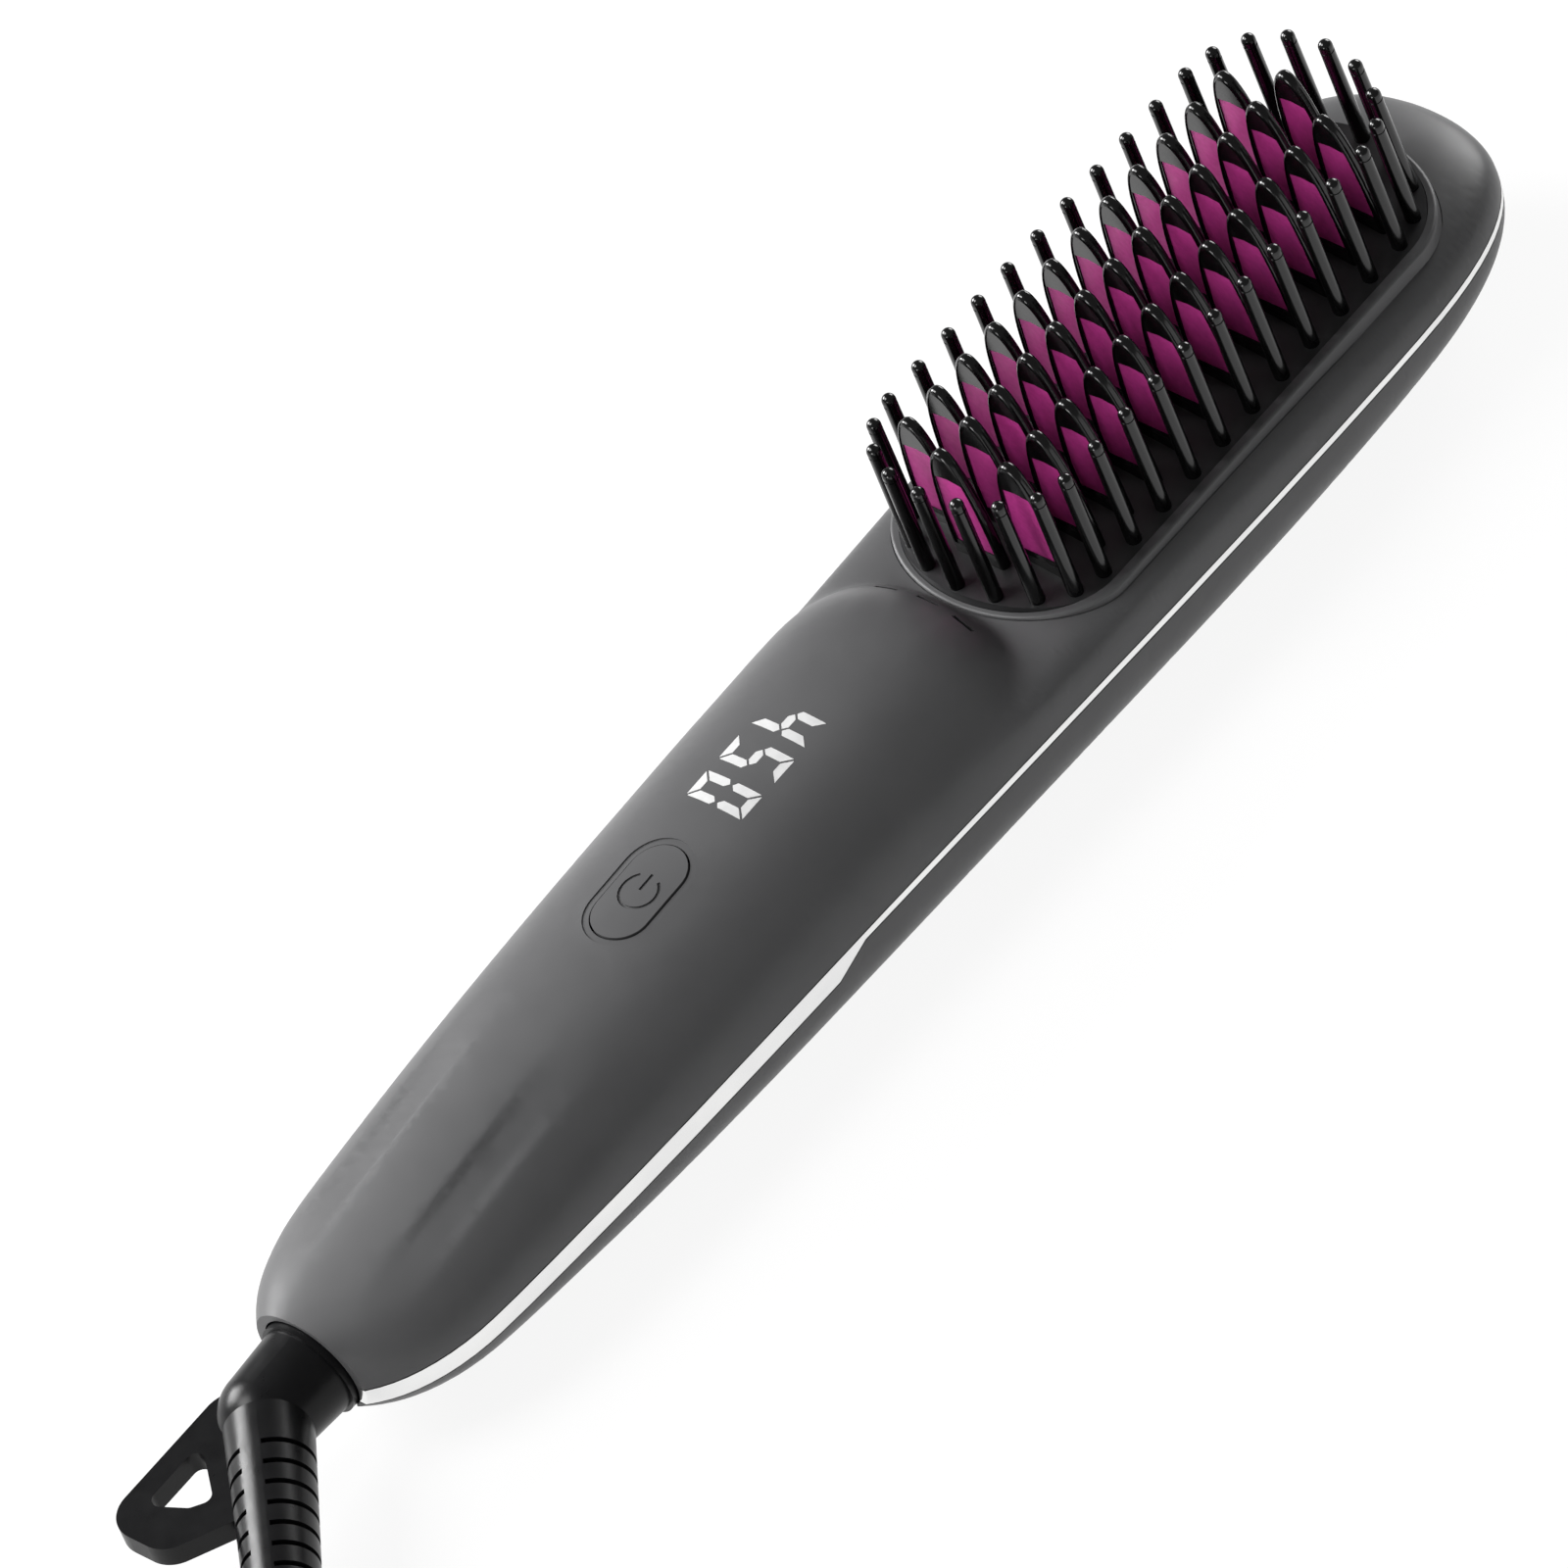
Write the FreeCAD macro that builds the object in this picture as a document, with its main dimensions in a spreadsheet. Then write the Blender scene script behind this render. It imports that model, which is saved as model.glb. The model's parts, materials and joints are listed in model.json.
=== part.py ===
import FreeCAD, Part
import math
import os

import Sketcher
from FreeCAD import Matrix, Placement, Rotation, Vector

# A corded hair straightening brush lying on its back, in millimetres.
# X runs from the cord end to the head's tip, Z is up, the way the bristles point.
# The origin is under the middle of the housing, on the flat of its back.

SIZES = {
    # Housing: half its length, the seam's height over the flat back, and its plan
    "shell_half_length": 136.65,
    "seam_height": 16.0,
    "wall": 2.0,
    "butt_sink": 4.0,
    "butt_x": -115.35,
    "butt_half_width": 19.9,
    "butt_slope": 0.075,
    "waist_x": -38.35,
    "waist_half_width": 22.9,
    "waist_slope": 0.02,
    "cheek_x": 100.65,
    "cheek_half_width": 25.75,
    "cheek_slope": -0.02,
    # Handle's dome: heights of its top line and how far its nose reaches
    "butt_top_height": 25.7,
    "butt_top_slope": 0.13,
    "crown_x": -11.35,
    "crown_height": 34.7,
    "nose_x": 20.45,
    "dome_power": 2.2,
    "nose_plan_power": 3.5,
    "nose_side_power": 3.4,
    "valley_softness": 2.4,
    # Head's shoulder and the back's hull
    "rim_height": 24.8,
    "shoulder_power": 5.0,
    "tip_shoulder_power": 2.9,
    "keel_depth": 16.5,
    "keel_power": 3.2,
    "keel_rear_x": -12.0,
    "keel_front_x": 50.0,
    "butt_depth": 11.6,
    "tip_depth": 12.2,
    "end_power": 2.4,
    # Bright trim let into the seam
    "trim_depth": 1.0,
    "trim_grip_height": 4.3,
    "trim_head_height": 1.65,
    "trim_step_x": -35.35,
    "trim_step_run": 7.0,
    "trim_groove": 0.25,
    # Bristle field: pins round a stadium, three staggered rows of teeth
    "first_pin_x": 36.4,
    "pin_pitch": 7.25,
    "straight_pins": 11,
    "end_pins": 7,
    "pin_row_y": 18.13,
    "pin_end_reach": 13.47,
    "pin_height": 22.3,
    "pin_radius": 1.28,
    "pin_tip_radius": 1.16,
    "pin_cap_height": 1.9,
    "pin_neck_width": 0.3,
    "pin_neck_depth": 0.1,
    "pin_foot_radius": 1.5,
    "pin_foot_height": 0.7,
    "tooth_first_x": 32.88,
    "tooth_pitch": 7.0,
    "side_teeth": 12,
    "tooth_row_y": 10.18,
    "hood_mid_height": 24.3,
    "hood_side_height": 23.2,
    "hood_half_width": 5.2,
    "hood_thickness": 2.0,
    "hood_rim": 0.9,
    "hood_recess": 0.3,
    "hood_edge_radius": 0.8,
    "panel_bottom": 2.6,
    "pocket_bottom": 2.0,
    "panel_top": 18.2,
    "panel_bottom_half_width": 3.8,
    "panel_top_half_width": 2.75,
    "tooth_thickness": 1.0,
    "tooth_clearance": 0.06,
    # Plate under the bristles, its ring and its seat in the head
    "plate_crown_height": 26.94,
    "plate_row_drop": 1.74,
    "plate_seat_height": 22.4,
    "plate_end_margin": 1.4,
    "plate_side_margin": 2.3,
    "bezel_gap": 0.1,
    "bezel_end_margin": 2.5,
    "bezel_side_margin": 4.1,
    "bezel_top_height": 25.2,
    "bezel_edge_radius": 0.5,
    "opening_gap": 0.15,
    "seat_margin": 1.65,
    "seat_thickness": 2.4,
    # Heater under the bristle plate
    "comb_inset": 2.6,
    "comb_top_height": 22.0,
    "comb_thickness": 3.0,
    "heater_length": 70.0,
    "heater_width": 8.0,
    "heater_thickness": 1.6,
    "heater_row_y": 7.0,
    "clamp_thickness": 0.8,
    "clamp_lip": 1.0,
    "tray_length": 84.0,
    "tray_width": 30.0,
    "tray_wall": 2.0,
    "tray_foot_height": 8.8,
    "fuse_radius": 2.0,
    "fuse_length": 14.0,
    "thermistor_radius": 1.2,
    "stack_gap": 0.1,
    "heater_screw_radius": 1.0,
    "heater_screw_head_radius": 1.9,
    "heater_screw_head_height": 1.4,
    "heater_screw_y": 8.0,
    "heater_screw_inset": 4.5,
    # Electronics in the handle
    "board_length": 98.0,
    "board_width": 21.6,
    "board_thickness": 1.6,
    "board_top_height": 25.6,
    "board_x": -58.35,
    "post_radius": 2.6,
    "post_inset_x": 7.0,
    "post_y": 10.0,
    "digits_x": -22.25,
    "digit_width": 5.3,
    "digit_height": 11.5,
    "digit_pitch": 7.8,
    "digit_stroke": 1.6,
    "digit_gap": 0.17,
    "display_length": 26.0,
    "display_width": 14.0,
    "display_top_height": 31.4,
    "ion_length": 24.0,
    "ion_width": 20.0,
    "ion_height": 10.0,
    "ion_x": 4.65,
    "ion_slot_x": 16.95,
    "ion_slot_y": 7.9,
    "ion_slot_step": 0.9,
    "ion_slot_degrees": 8.0,
    "ion_chamber_length": 16.3,
    "emitter_setback": 2.5,
    "ion_slot_length": 4.3,
    "ion_slot_width": 0.6,
    "ion_chamber_height": 22.6,
    "ion_chamber_half_width": 11.5,
    "emitter_radius": 0.5,
    # Power button and its switch
    "button_x": -50.75,
    "button_length": 18.4,
    "button_width": 10.0,
    "button_gap": 0.3,
    "button_travel": 0.6,
    "button_flange": 1.4,
    "button_flange_thickness": 0.8,
    "button_flange_height": 30.2,
    "button_dish": 1.4,
    "button_dish_depth": 0.22,
    "sign_radius": 3.2,
    "sign_stroke": 0.5,
    "sign_bar": 3.2,
    "sign_gap_degrees": 70.0,
    "sign_depth": 0.3,
    "switch_size": 6.0,
    "switch_height": 3.4,
    "plunger_radius": 1.5,
    "plunger_height": 3.2,
    # Grip flutes on the handle
    "flute_x": -102.35,
    "flute_half_length": 29.0,
    "flute_half_width": 3.8,
    "flute_wall_share": 0.55,
    "flute_depth": 0.7,
    "flute_y": 9.8,
    # Case screws
    "screw_rear_x": -113.35,
    "screw_rear_y": 12.0,
    "screw_front_x": -1.35,
    "screw_front_y": 16.5,
    "screw_radius": 1.2,
    "screw_head_radius": 2.3,
    "screw_head_height": 1.8,
    "screw_rear_sink": 6.2,
    "screw_front_sink": 2.8,
    "screw_top_height": 22.0,
    "boss_radius": 3.0,
    "screw_gap": 0.1,
    # Swivel of the cord entry
    "collar_hole_radius": 9.1,
    "hub_journal_radius": 6.5,
    "hub_running_gap": 0.08,
    "hub_flange_radius": 8.2,
    "hub_flange_x": -134.85,
    "cradle_x": -130.85,
    "cradle_thickness": 3.0,
    "hub_stem_radius": 5.0,
    "hub_stem_length": 9.0,
    "hub_core_radius": 4.4,
    "hub_bore_radius": 2.4,
    "hub_end_x": -114.15,
    "clip_radius": 7.6,
    "clip_thickness": 1.0,
    "clip_gap": 0.6,
    "ring_radius": 6.0,
    "ring_width": 2.2,
    "ring_one_x": -124.25,
    "ring_two_x": -119.25,
    "contact_thickness": 0.6,
    "contact_gap": 0.3,
    # Elbow boot with its ribbed leg and hanging loop
    "elbow_radius": 8.3,
    "elbow_ring_radius": 8.75,
    "elbow_ring_width": 1.7,
    "elbow_ring_sink": 0.6,
    "elbow_vertex_x": -147.25,
    "elbow_degrees": 45.2,
    "leg_top_radius": 7.05,
    "leg_end_radius": 5.55,
    "leg_length": 45.0,
    "leg_end_round": 0.8,
    "rib_first": 10.5,
    "rib_pitch": 3.98,
    "rib_count": 8,
    "rib_slot_width": 0.95,
    "rib_slot_depth": 1.3,
    "rib_web": 3.6,
    "loop_thickness": 3.8,
    "loop_top_y": 8.1,
    "loop_end_x": -176.35,
    "loop_corner_radius": 5.5,
    "loop_low_y": -12.0,
    "loop_low_x": -163.95,
    "loop_rim": 4.6,
    "loop_eye_setback": 9.8,
    "knee_radius": 7.6,
    "web_lean_degrees": 14.0,
    "loop_hole_corner": 1.6,
    # Mains lead: tube, coil, tie and plug
    "cord_diameter": 6.0,
    "lead_first_run": 13.0,
    "lead_last_run": 14.0,
    "lead_bow": 2.75,
    "lead_lift": 0.75,
    "coil_x": -247.4,
    "coil_y": -14.4,
    "coil_inner_radius": 25.0,
    "coil_turns_in": 3.0,
    "coil_pitch": 6.5,
    "coil_base_height": 3.7,
    "coil_layer_step": 6.5,
    "coil_start_degrees": -82.0,
    "coil_end_degrees": -172.0,
    "tail_run": 14.0,
    "tail_turn_degrees": 25.0,
    "tail_corners": 7,
    "tie_thickness": 0.6,
    "tie_width": 5.0,
    "tie_degrees": 35.0,
    "tie_gap": 0.1,
    "plug_length": 24.0,
    "plug_width": 20.0,
    "plug_height": 14.0,
    "plug_corner_radius": 4.5,
    "plug_tail_length": 16.0,
    "plug_tail_radius": 4.8,
    "plug_tail_wall": 0.6,
    "blade_length": 16.0,
    "blade_width": 6.3,
    "blade_thickness": 1.5,
    "blade_spacing": 12.7,
}

doc = FreeCAD.newDocument("HairBrush")
sheet = doc.addObject("Spreadsheet::Sheet", "Sizes")
for row, (alias, number) in enumerate(SIZES.items(), start=1):
    sheet.set(f"A{row}", alias)
    sheet.set(f"B{row}", str(number))
    sheet.setAlias(f"B{row}", alias)
doc.recompute()

nodes = []


def size(alias):
    return float(sheet.get(alias))


def keep(item, label):
    """Name a finished sub-part; its label names its file."""
    item.Label = label
    nodes.append(item)
    return item


def keep_shape(label, shape):
    feature = doc.addObject("Part::Feature", label)
    feature.Shape = shape
    return keep(feature, label)


def primitive(kind, name, sizes, place):
    """A Part primitive whose sizes and place are expressions of the sheet's cells."""
    item = doc.addObject(kind, name)
    for prop, expression in sizes.items():
        item.setExpression(prop, expression)
    for axis, expression in zip("xyz", place):
        item.setExpression(f"Placement.Base.{axis}", expression)
    return item


def combine(kind, name, first, second):
    item = doc.addObject(kind, name)
    item.Base = first
    item.Tool = second
    return item


def body_plane(body, role):
    return next(f for f in body.Origin.OriginFeatures if f.Role == role)


def plate_body(label, length, width, thickness, place):
    """A rectangular plate padded from a centred sketch."""
    body = doc.addObject("PartDesign::Body", label)
    sketch = body.newObject("Sketcher::SketchObject", label + "_outline")
    sketch.AttachmentSupport = [(body_plane(body, "XY_Plane"), "")]
    sketch.MapMode = "FlatFace"
    corners = [Vector(-10, -5, 0), Vector(10, -5, 0), Vector(10, 5, 0), Vector(-10, 5, 0)]
    for i in range(4):
        sketch.addGeometry(Part.LineSegment(corners[i], corners[(i + 1) % 4]), False)
    for i in range(4):
        sketch.addConstraint(Sketcher.Constraint("Coincident", i, 2, (i + 1) % 4, 1))
    for i, kind in enumerate(("Horizontal", "Vertical", "Horizontal", "Vertical")):
        sketch.addConstraint(Sketcher.Constraint(kind, i))
    sketch.addConstraint(Sketcher.Constraint("Symmetric", 0, 1, 2, 1, -1, 1))
    across = sketch.addConstraint(Sketcher.Constraint("DistanceX", 0, 1, 0, 2, 20.0))
    along = sketch.addConstraint(Sketcher.Constraint("DistanceY", 1, 1, 1, 2, 10.0))
    sketch.setExpression(f"Constraints[{across}]", length)
    sketch.setExpression(f"Constraints[{along}]", width)
    pad = body.newObject("PartDesign::Pad", label + "_pad")
    pad.Profile = sketch
    pad.setExpression("Length", thickness)
    for axis, expression in zip("xyz", place):
        body.setExpression(f"Placement.Base.{axis}", expression)
    return keep(body, label)


def turned_body(label, profile, place):
    """A part turned about a line along X, from the (station, radius) corners of its half section."""
    body = doc.addObject("PartDesign::Body", label)
    sketch = body.newObject("Sketcher::SketchObject", label + "_profile")
    sketch.AttachmentSupport = [(body_plane(body, "XY_Plane"), "")]
    sketch.MapMode = "FlatFace"
    values = [(read(station), read(radius)) for station, radius in profile]
    count = len(values)
    for i in range(count):
        start, end = values[i], values[(i + 1) % count]
        sketch.addGeometry(Part.LineSegment(Vector(*start, 0), Vector(*end, 0)), False)
    for i in range(count):
        sketch.addConstraint(Sketcher.Constraint("Coincident", i, 2, (i + 1) % count, 1))
    for i, (station, radius) in enumerate(profile):
        for kind, axis, expression in (("DistanceX", -2, station), ("DistanceY", -1, radius)):
            if read(expression) == 0:
                sketch.addConstraint(Sketcher.Constraint("PointOnObject", i, 1, axis))
            else:
                number = sketch.addConstraint(
                    Sketcher.Constraint(kind, -1, 1, i, 1, read(expression))
                )
                sketch.setExpression(f"Constraints[{number}]", expression)
    turn = body.newObject("PartDesign::Revolution", label + "_turn")
    turn.Profile = sketch
    turn.ReferenceAxis = (sketch, ["H_Axis"])
    turn.Angle = 360.0
    for axis, expression in zip("xyz", place):
        body.setExpression(f"Placement.Base.{axis}", expression)
    return keep(body, label)


def read(expression):
    """The number that a sheet expression gives now."""
    return float(sheet.evalExpression(expression.replace("Sizes.", "")))


def box(x_range, y_range, z_range):
    corner = Vector(x_range[0], y_range[0], z_range[0])
    return Part.makeBox(
        x_range[1] - x_range[0], y_range[1] - y_range[0], z_range[1] - z_range[0], corner
    )


def upright(radius, x, y, low, high):
    return Part.makeCylinder(radius, high - low, Vector(x, y, low))


def mirrored(shape):
    return shape.mirror(Vector(0, 0, 0), Vector(0, 1, 0))


def prism(points, low, high):
    """A straight prism over a plan polygon."""
    corners = [Vector(x, y, low) for x, y in points]
    face = Part.Face(Part.makePolygon(corners + corners[:1]))
    return face.extrude(Vector(0, 0, high - low))


# Plan of the housing: four curves from the butt's tip, round one side, to the head's tip

LENGTH = size("shell_half_length")
SEAM = size("seam_height")
FIRST_X = size("first_pin_x")
LAST_X = FIRST_X + size("pin_pitch") * (size("straight_pins") - 1)
ROW_Y = size("pin_row_y")


def plan_curves():
    butt_x, butt_w, butt_s = size("butt_x"), size("butt_half_width"), size("butt_slope")
    waist_x, waist_w, waist_s = size("waist_x"), size("waist_half_width"), size("waist_slope")
    cheek_x, cheek_w, cheek_s = size("cheek_x"), size("cheek_half_width"), size("cheek_slope")
    end_x = -LENGTH - size("butt_sink")
    end_run, grip_run = 0.55 * (butt_x - end_x), (waist_x - butt_x) / 3
    head_run, tip_run = 0.29 * (cheek_x - waist_x), LENGTH - cheek_x
    return [
        [
            (end_x, 0),
            (end_x, 0.58 * butt_w),
            (butt_x - end_run, butt_w - butt_s * end_run),
            (butt_x, butt_w),
        ],
        [
            (butt_x, butt_w),
            (butt_x + grip_run, butt_w + butt_s * grip_run),
            (waist_x - grip_run, waist_w - waist_s * grip_run),
            (waist_x, waist_w),
        ],
        [
            (waist_x, waist_w),
            (waist_x + head_run, waist_w + waist_s * head_run),
            (cheek_x - head_run, cheek_w - cheek_s * head_run),
            (cheek_x, cheek_w),
        ],
        [
            (cheek_x, cheek_w),
            (cheek_x + 0.69 * tip_run, cheek_w + cheek_s * 0.69 * tip_run),
            (LENGTH, 0.74 * cheek_w),
            (LENGTH, 0),
        ],
    ]


PLAN = plan_curves()


def on_curve(points, share):
    """The point at a share of a Bezier curve."""
    while len(points) > 1:
        points = [
            tuple(a + (b - a) * share for a, b in zip(p, q)) for p, q in zip(points, points[1:])
        ]
    return points[0]


def solve(test, low, high):
    """The largest number from low to high for which a test still holds."""
    for _ in range(50):
        middle = (low + high) / 2
        low, high = (middle, high) if test(middle) else (low, middle)
    return low


def height_along(curves, x):
    """The second coordinate of a chain of curves where its first is x."""
    for points in curves:
        if points[0][0] <= x <= points[-1][0]:
            return on_curve(points, solve(lambda s: on_curve(points, s)[0] <= x, 0.0, 1.0))[1]
    return 0.0


def half_width(x):
    return height_along(PLAN, x)


def top_line():
    """The dome's top line in side view, from the butt to the crown."""
    crown_x, crown_z = size("crown_x"), size("crown_height")
    start, slope = size("butt_top_height"), size("butt_top_slope")
    run = (crown_x + LENGTH) / 3
    return [
        (-LENGTH, start),
        (-LENGTH + run, start + slope * run),
        (crown_x - 1.35 * run, crown_z),
        (crown_x, crown_z),
    ]


TOP_LINE = [top_line()]


def rounded_reach(turn, half, height, power):
    """How far a rounded section reaches from its centre on the seam, at an angle from the side."""
    if half <= 0 or height <= 0:
        return 0.0
    across, up = abs(math.cos(turn)) / half, math.sin(turn) / height
    return (across**power + up**power) ** (-1 / power)


def dome_size(x):
    """Half width and height of the handle's dome, which ends in a rounded nose over the head."""
    crown_x, nose_x = size("crown_x"), size("nose_x")
    share = max(0.0, (x - crown_x) / (nose_x - crown_x))
    if share >= 1:
        return 0.0, 0.0
    height = size("crown_height") if x > crown_x else height_along(TOP_LINE, x)
    plan, side = size("nose_plan_power"), size("nose_side_power")
    return (
        half_width(x) * (1 - share**plan) ** (1 / plan),
        (height - SEAM) * (1 - share**side) ** (1 / side),
    )


def level_reach(x, turn, height, power):
    """Reach of a rounded side whose every level is the plan, drawn in round the butt and the cheeks."""
    butt_x, cheek_x = size("butt_x"), size("cheek_x")

    def inside(reach):
        across, off = reach * math.cos(turn), reach * math.sin(turn)
        if off >= height:
            return False
        level = (1 - (off / height) ** power) ** (1 / power)
        out = x
        if x > cheek_x:
            out = cheek_x + (x - cheek_x) / level
        if x < butt_x:
            out = butt_x + (x - butt_x) / level
        return PLAN[0][0][0] < out < LENGTH and across <= level * half_width(out)

    return solve(inside, 0.0, 2 * LENGTH)


def shoulder_reach(x, turn):
    """Reach of the head's shoulder, which rounds off more towards the tip."""
    cheek_x = size("cheek_x")
    towards_tip = min(1.0, max(0.0, (x - FIRST_X) / (cheek_x - FIRST_X)))
    power = size("shoulder_power") + towards_tip * (size("tip_shoulder_power") - size("shoulder_power"))
    return level_reach(x, turn, size("rim_height") - SEAM, power)


def keel_depth(x):
    """Depth of the back under the seam, which lifts a little towards both ends."""
    rear, front, deep = size("keel_rear_x"), size("keel_front_x"), size("keel_depth")
    rear_run, front_run = rear + LENGTH, LENGTH - front
    butt, tip = size("butt_depth"), size("tip_depth")
    curves = [
        [
            (-LENGTH, butt),
            (-LENGTH + 0.3 * rear_run, 0.35 * butt + 0.65 * deep),
            (rear - 0.4 * rear_run, deep),
            (rear, deep),
        ],
        [(rear, deep), (front, deep)],
        [
            (front, deep),
            (front + 0.5 * front_run, deep),
            (LENGTH - 0.2 * front_run, 0.5 * (deep + tip)),
            (LENGTH, tip),
        ],
    ]
    return height_along(curves, x)


def hull_section(x, inset):
    """Points of the back's cross-section from one side of the seam under it to the other."""
    depth = keel_depth(x)
    fullness = (depth - size("butt_depth")) / (size("keel_depth") - size("butt_depth"))
    power = size("end_power") + (size("keel_power") - size("end_power")) * fullness
    quarter = []
    for degrees in SECTION_DEGREES:
        turn = math.radians(degrees)
        reach = max(0.2, level_reach(x, turn, depth, power) - inset)
        quarter.append((-reach * math.cos(turn), SEAM - reach * math.sin(turn)))
    points = quarter + [(-y, z) for y, z in quarter[-2::-1]]
    return [Vector(x, y, z) for y, z in points]


def smooth(share):
    return share * share * (3 - 2 * share)


SECTION_DEGREES = (0, 4, 8, 12, 15, 18, 20.5, 23, 27, 33, 42, 55, 72, 90)
FLUTED_DEGREES = SECTION_DEGREES[:8] + (26, 29.5, 33) + tuple(range(36, 78, 2)) + (80, 85, 90)


def flute_dip(x, y):
    """How deep the two flat-bottomed hollows on the grip are at a place in plan."""
    along = (x - size("flute_x")) / size("flute_half_length")
    across = (abs(y) - size("flute_y")) / size("flute_half_width")
    if max(abs(along), abs(across)) >= 1:
        return 0.0
    wall = smooth(min(1.0, (1 - abs(across)) / size("flute_wall_share")))
    return size("flute_depth") * (1 - along**2) ** 2 * wall


def front_section(x, inset):
    """Points of the front's cross-section from one side of the seam over the top to the other."""
    crown_x, nose_x = size("crown_x"), size("nose_x")
    half, height = dome_size(x)
    emerge = min(1.0, max(0.0, (x - crown_x + 4) / (nose_x - crown_x)))
    swell = 0.75 + 0.25 * (3 - 2 * emerge) * emerge**2
    soft = size("valley_softness")

    def blended(dome, shoulder):
        if half <= 0:
            return shoulder
        if emerge <= 0:
            return dome
        return (dome + shoulder + math.hypot(dome - shoulder, soft)) / 2

    trueing = half_width(x) / blended(half, swell * half_width(x))
    quarter = []
    for degrees in SECTION_DEGREES if inset > 0 else FLUTED_DEGREES:
        turn = math.radians(degrees)
        shoulder = swell * shoulder_reach(x, turn) if emerge > 0 else 0.0
        reach = blended(rounded_reach(turn, half, height, size("dome_power")), shoulder)
        reach *= trueing
        dip = 0.0 if inset > 0 else flute_dip(x, reach * math.cos(turn))
        reach = max(0.2, reach - dip - inset)
        quarter.append((reach * math.cos(turn), SEAM + reach * math.sin(turn)))
    points = quarter + [(-y, z) for y, z in quarter[-2::-1]]
    return [Vector(x, y, z) for y, z in points]


def spline_poles(points, shares):
    """Poles, multiplicities and knots of a smooth curve through points at given parameters."""
    curve = Part.BSplineCurve()
    curve.interpolate(Points=points, Parameters=shares)
    return curve.getPoles(), curve.getMultiplicities(), curve.getKnots()


def skinned(section, degrees, stations, inset):
    """A solid on the seam's plane within one smooth skin through cross-sections."""
    around = [d / 180 for d in degrees]
    around += [1 - share for share in around[-2::-1]]
    sections = [spline_poles(section(x, inset), around) for x in stations]
    along = [(x - stations[0]) / (stations[-1] - stations[0]) for x in stations]
    rows = [spline_poles(list(row), along) for row in zip(*(poles for poles, _, _ in sections))]
    skin = Part.BSplineSurface()
    skin.buildFromPolesMultsKnots(
        [poles for poles, _, _ in rows],
        sections[0][1],
        rows[0][1],
        sections[0][2],
        rows[0][2],
        False,
        False,
        3,
        3,
    )
    top = skin.toShape()
    rims = [e for e in top.Edges if e.BoundBox.ZLength < 1e-6]
    ends = [e for e in top.Edges if e.BoundBox.ZLength >= 1e-6]
    chords = [Part.LineSegment(e.Vertexes[0].Point, e.Vertexes[-1].Point).toShape() for e in ends]
    faces = [top, Part.Face(Part.Wire(Part.sortEdges(rims + chords)[0]))]
    faces += [Part.Face(Part.Wire([edge, chord])) for edge, chord in zip(ends, chords)]
    shell = Part.makeShell(faces)
    shell.sewShape()
    return Part.makeSolid(shell)


def between(start, end, shares):
    return [start + (end - start) * share for share in shares]


def evenly(start, end, count):
    return between(start, end, [k / count for k in range(count)])


def tip_stations():
    shares = (0, 0.2, 0.38, 0.53, 0.66, 0.76, 0.84, 0.9, 0.945, 0.975, 0.99, 0.9985)
    return between(size("cheek_x"), LENGTH, shares)


def front_solid():
    crown_x, nose_x, cheek_x = size("crown_x"), size("nose_x"), size("cheek_x")
    brow_x = nose_x - 0.2 * (nose_x - crown_x)
    foot_x = nose_x + 0.12 * (nose_x - crown_x)
    stations = evenly(-LENGTH, size("butt_x"), 5) + evenly(size("butt_x"), crown_x, 12)
    stations += evenly(crown_x, brow_x, 10) + evenly(brow_x, foot_x, 10)
    stations += between(foot_x, cheek_x, (0, 0.03, 0.08, 0.16, 0.3, 0.5, 0.75))
    return skinned(front_section, FLUTED_DEGREES, stations + tip_stations(), 0.0)


def handle_cavity():
    """The hollow of the handle under its dome."""
    start, end = -LENGTH + 2 * size("wall"), size("crown_x") + 14
    stations = between(start, end, (0, 0.05, 0.12, 0.22, 0.36, 0.52, 0.7, 0.86, 0.94, 1))
    return skinned(front_section, SECTION_DEGREES, stations, size("wall"))


def hull_solid(inset):
    """The back, or its hollow with an inset, cut flat underneath to lie on."""
    far = 2 * LENGTH
    stations = evenly(-LENGTH, size("butt_x"), 6) + evenly(size("butt_x"), size("cheek_x"), 16)
    hull = skinned(hull_section, SECTION_DEGREES, stations + tip_stations(), inset)
    if inset:
        hull = hull.cut(box((LENGTH - inset, far), (-far, far), (-far, far)))
    return hull.cut(box((-far, far), (-far, far), (-far, 0)))


FRONT = front_solid()
HULL = hull_solid(0.0)


# Bristle field

def half_ellipse(x, reach, half, way):
    centre = Vector(x, 0, 0)
    side, end = Vector(x, -way * half, 0), Vector(x + way * reach, 0, 0)
    if half >= reach:
        return Part.ArcOfEllipse(Part.Ellipse(side, end, centre), 0, math.pi)
    turned = Part.Ellipse(end, Vector(x, way * half, 0), centre)
    return Part.ArcOfEllipse(turned, -math.pi / 2, math.pi / 2)


def stadium(end_margin, side_margin, low, high):
    """A prism round the bristle field, with margins outside the pins' line."""
    reach, half = size("pin_end_reach") + end_margin, ROW_Y + side_margin
    edges = [
        half_ellipse(FIRST_X, reach, half, -1).toShape(),
        Part.LineSegment(Vector(FIRST_X, -half, 0), Vector(LAST_X, -half, 0)).toShape(),
        half_ellipse(LAST_X, reach, half, 1).toShape(),
        Part.LineSegment(Vector(LAST_X, half, 0), Vector(FIRST_X, half, 0)).toShape(),
    ]
    face = Part.Face(Part.Wire(Part.sortEdges(edges)[0]))
    face.translate(Vector(0, 0, low))
    return face.extrude(Vector(0, 0, high - low))


def plate_top(y):
    return size("plate_crown_height") - size("plate_row_drop") * (y / ROW_Y) ** 2


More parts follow.
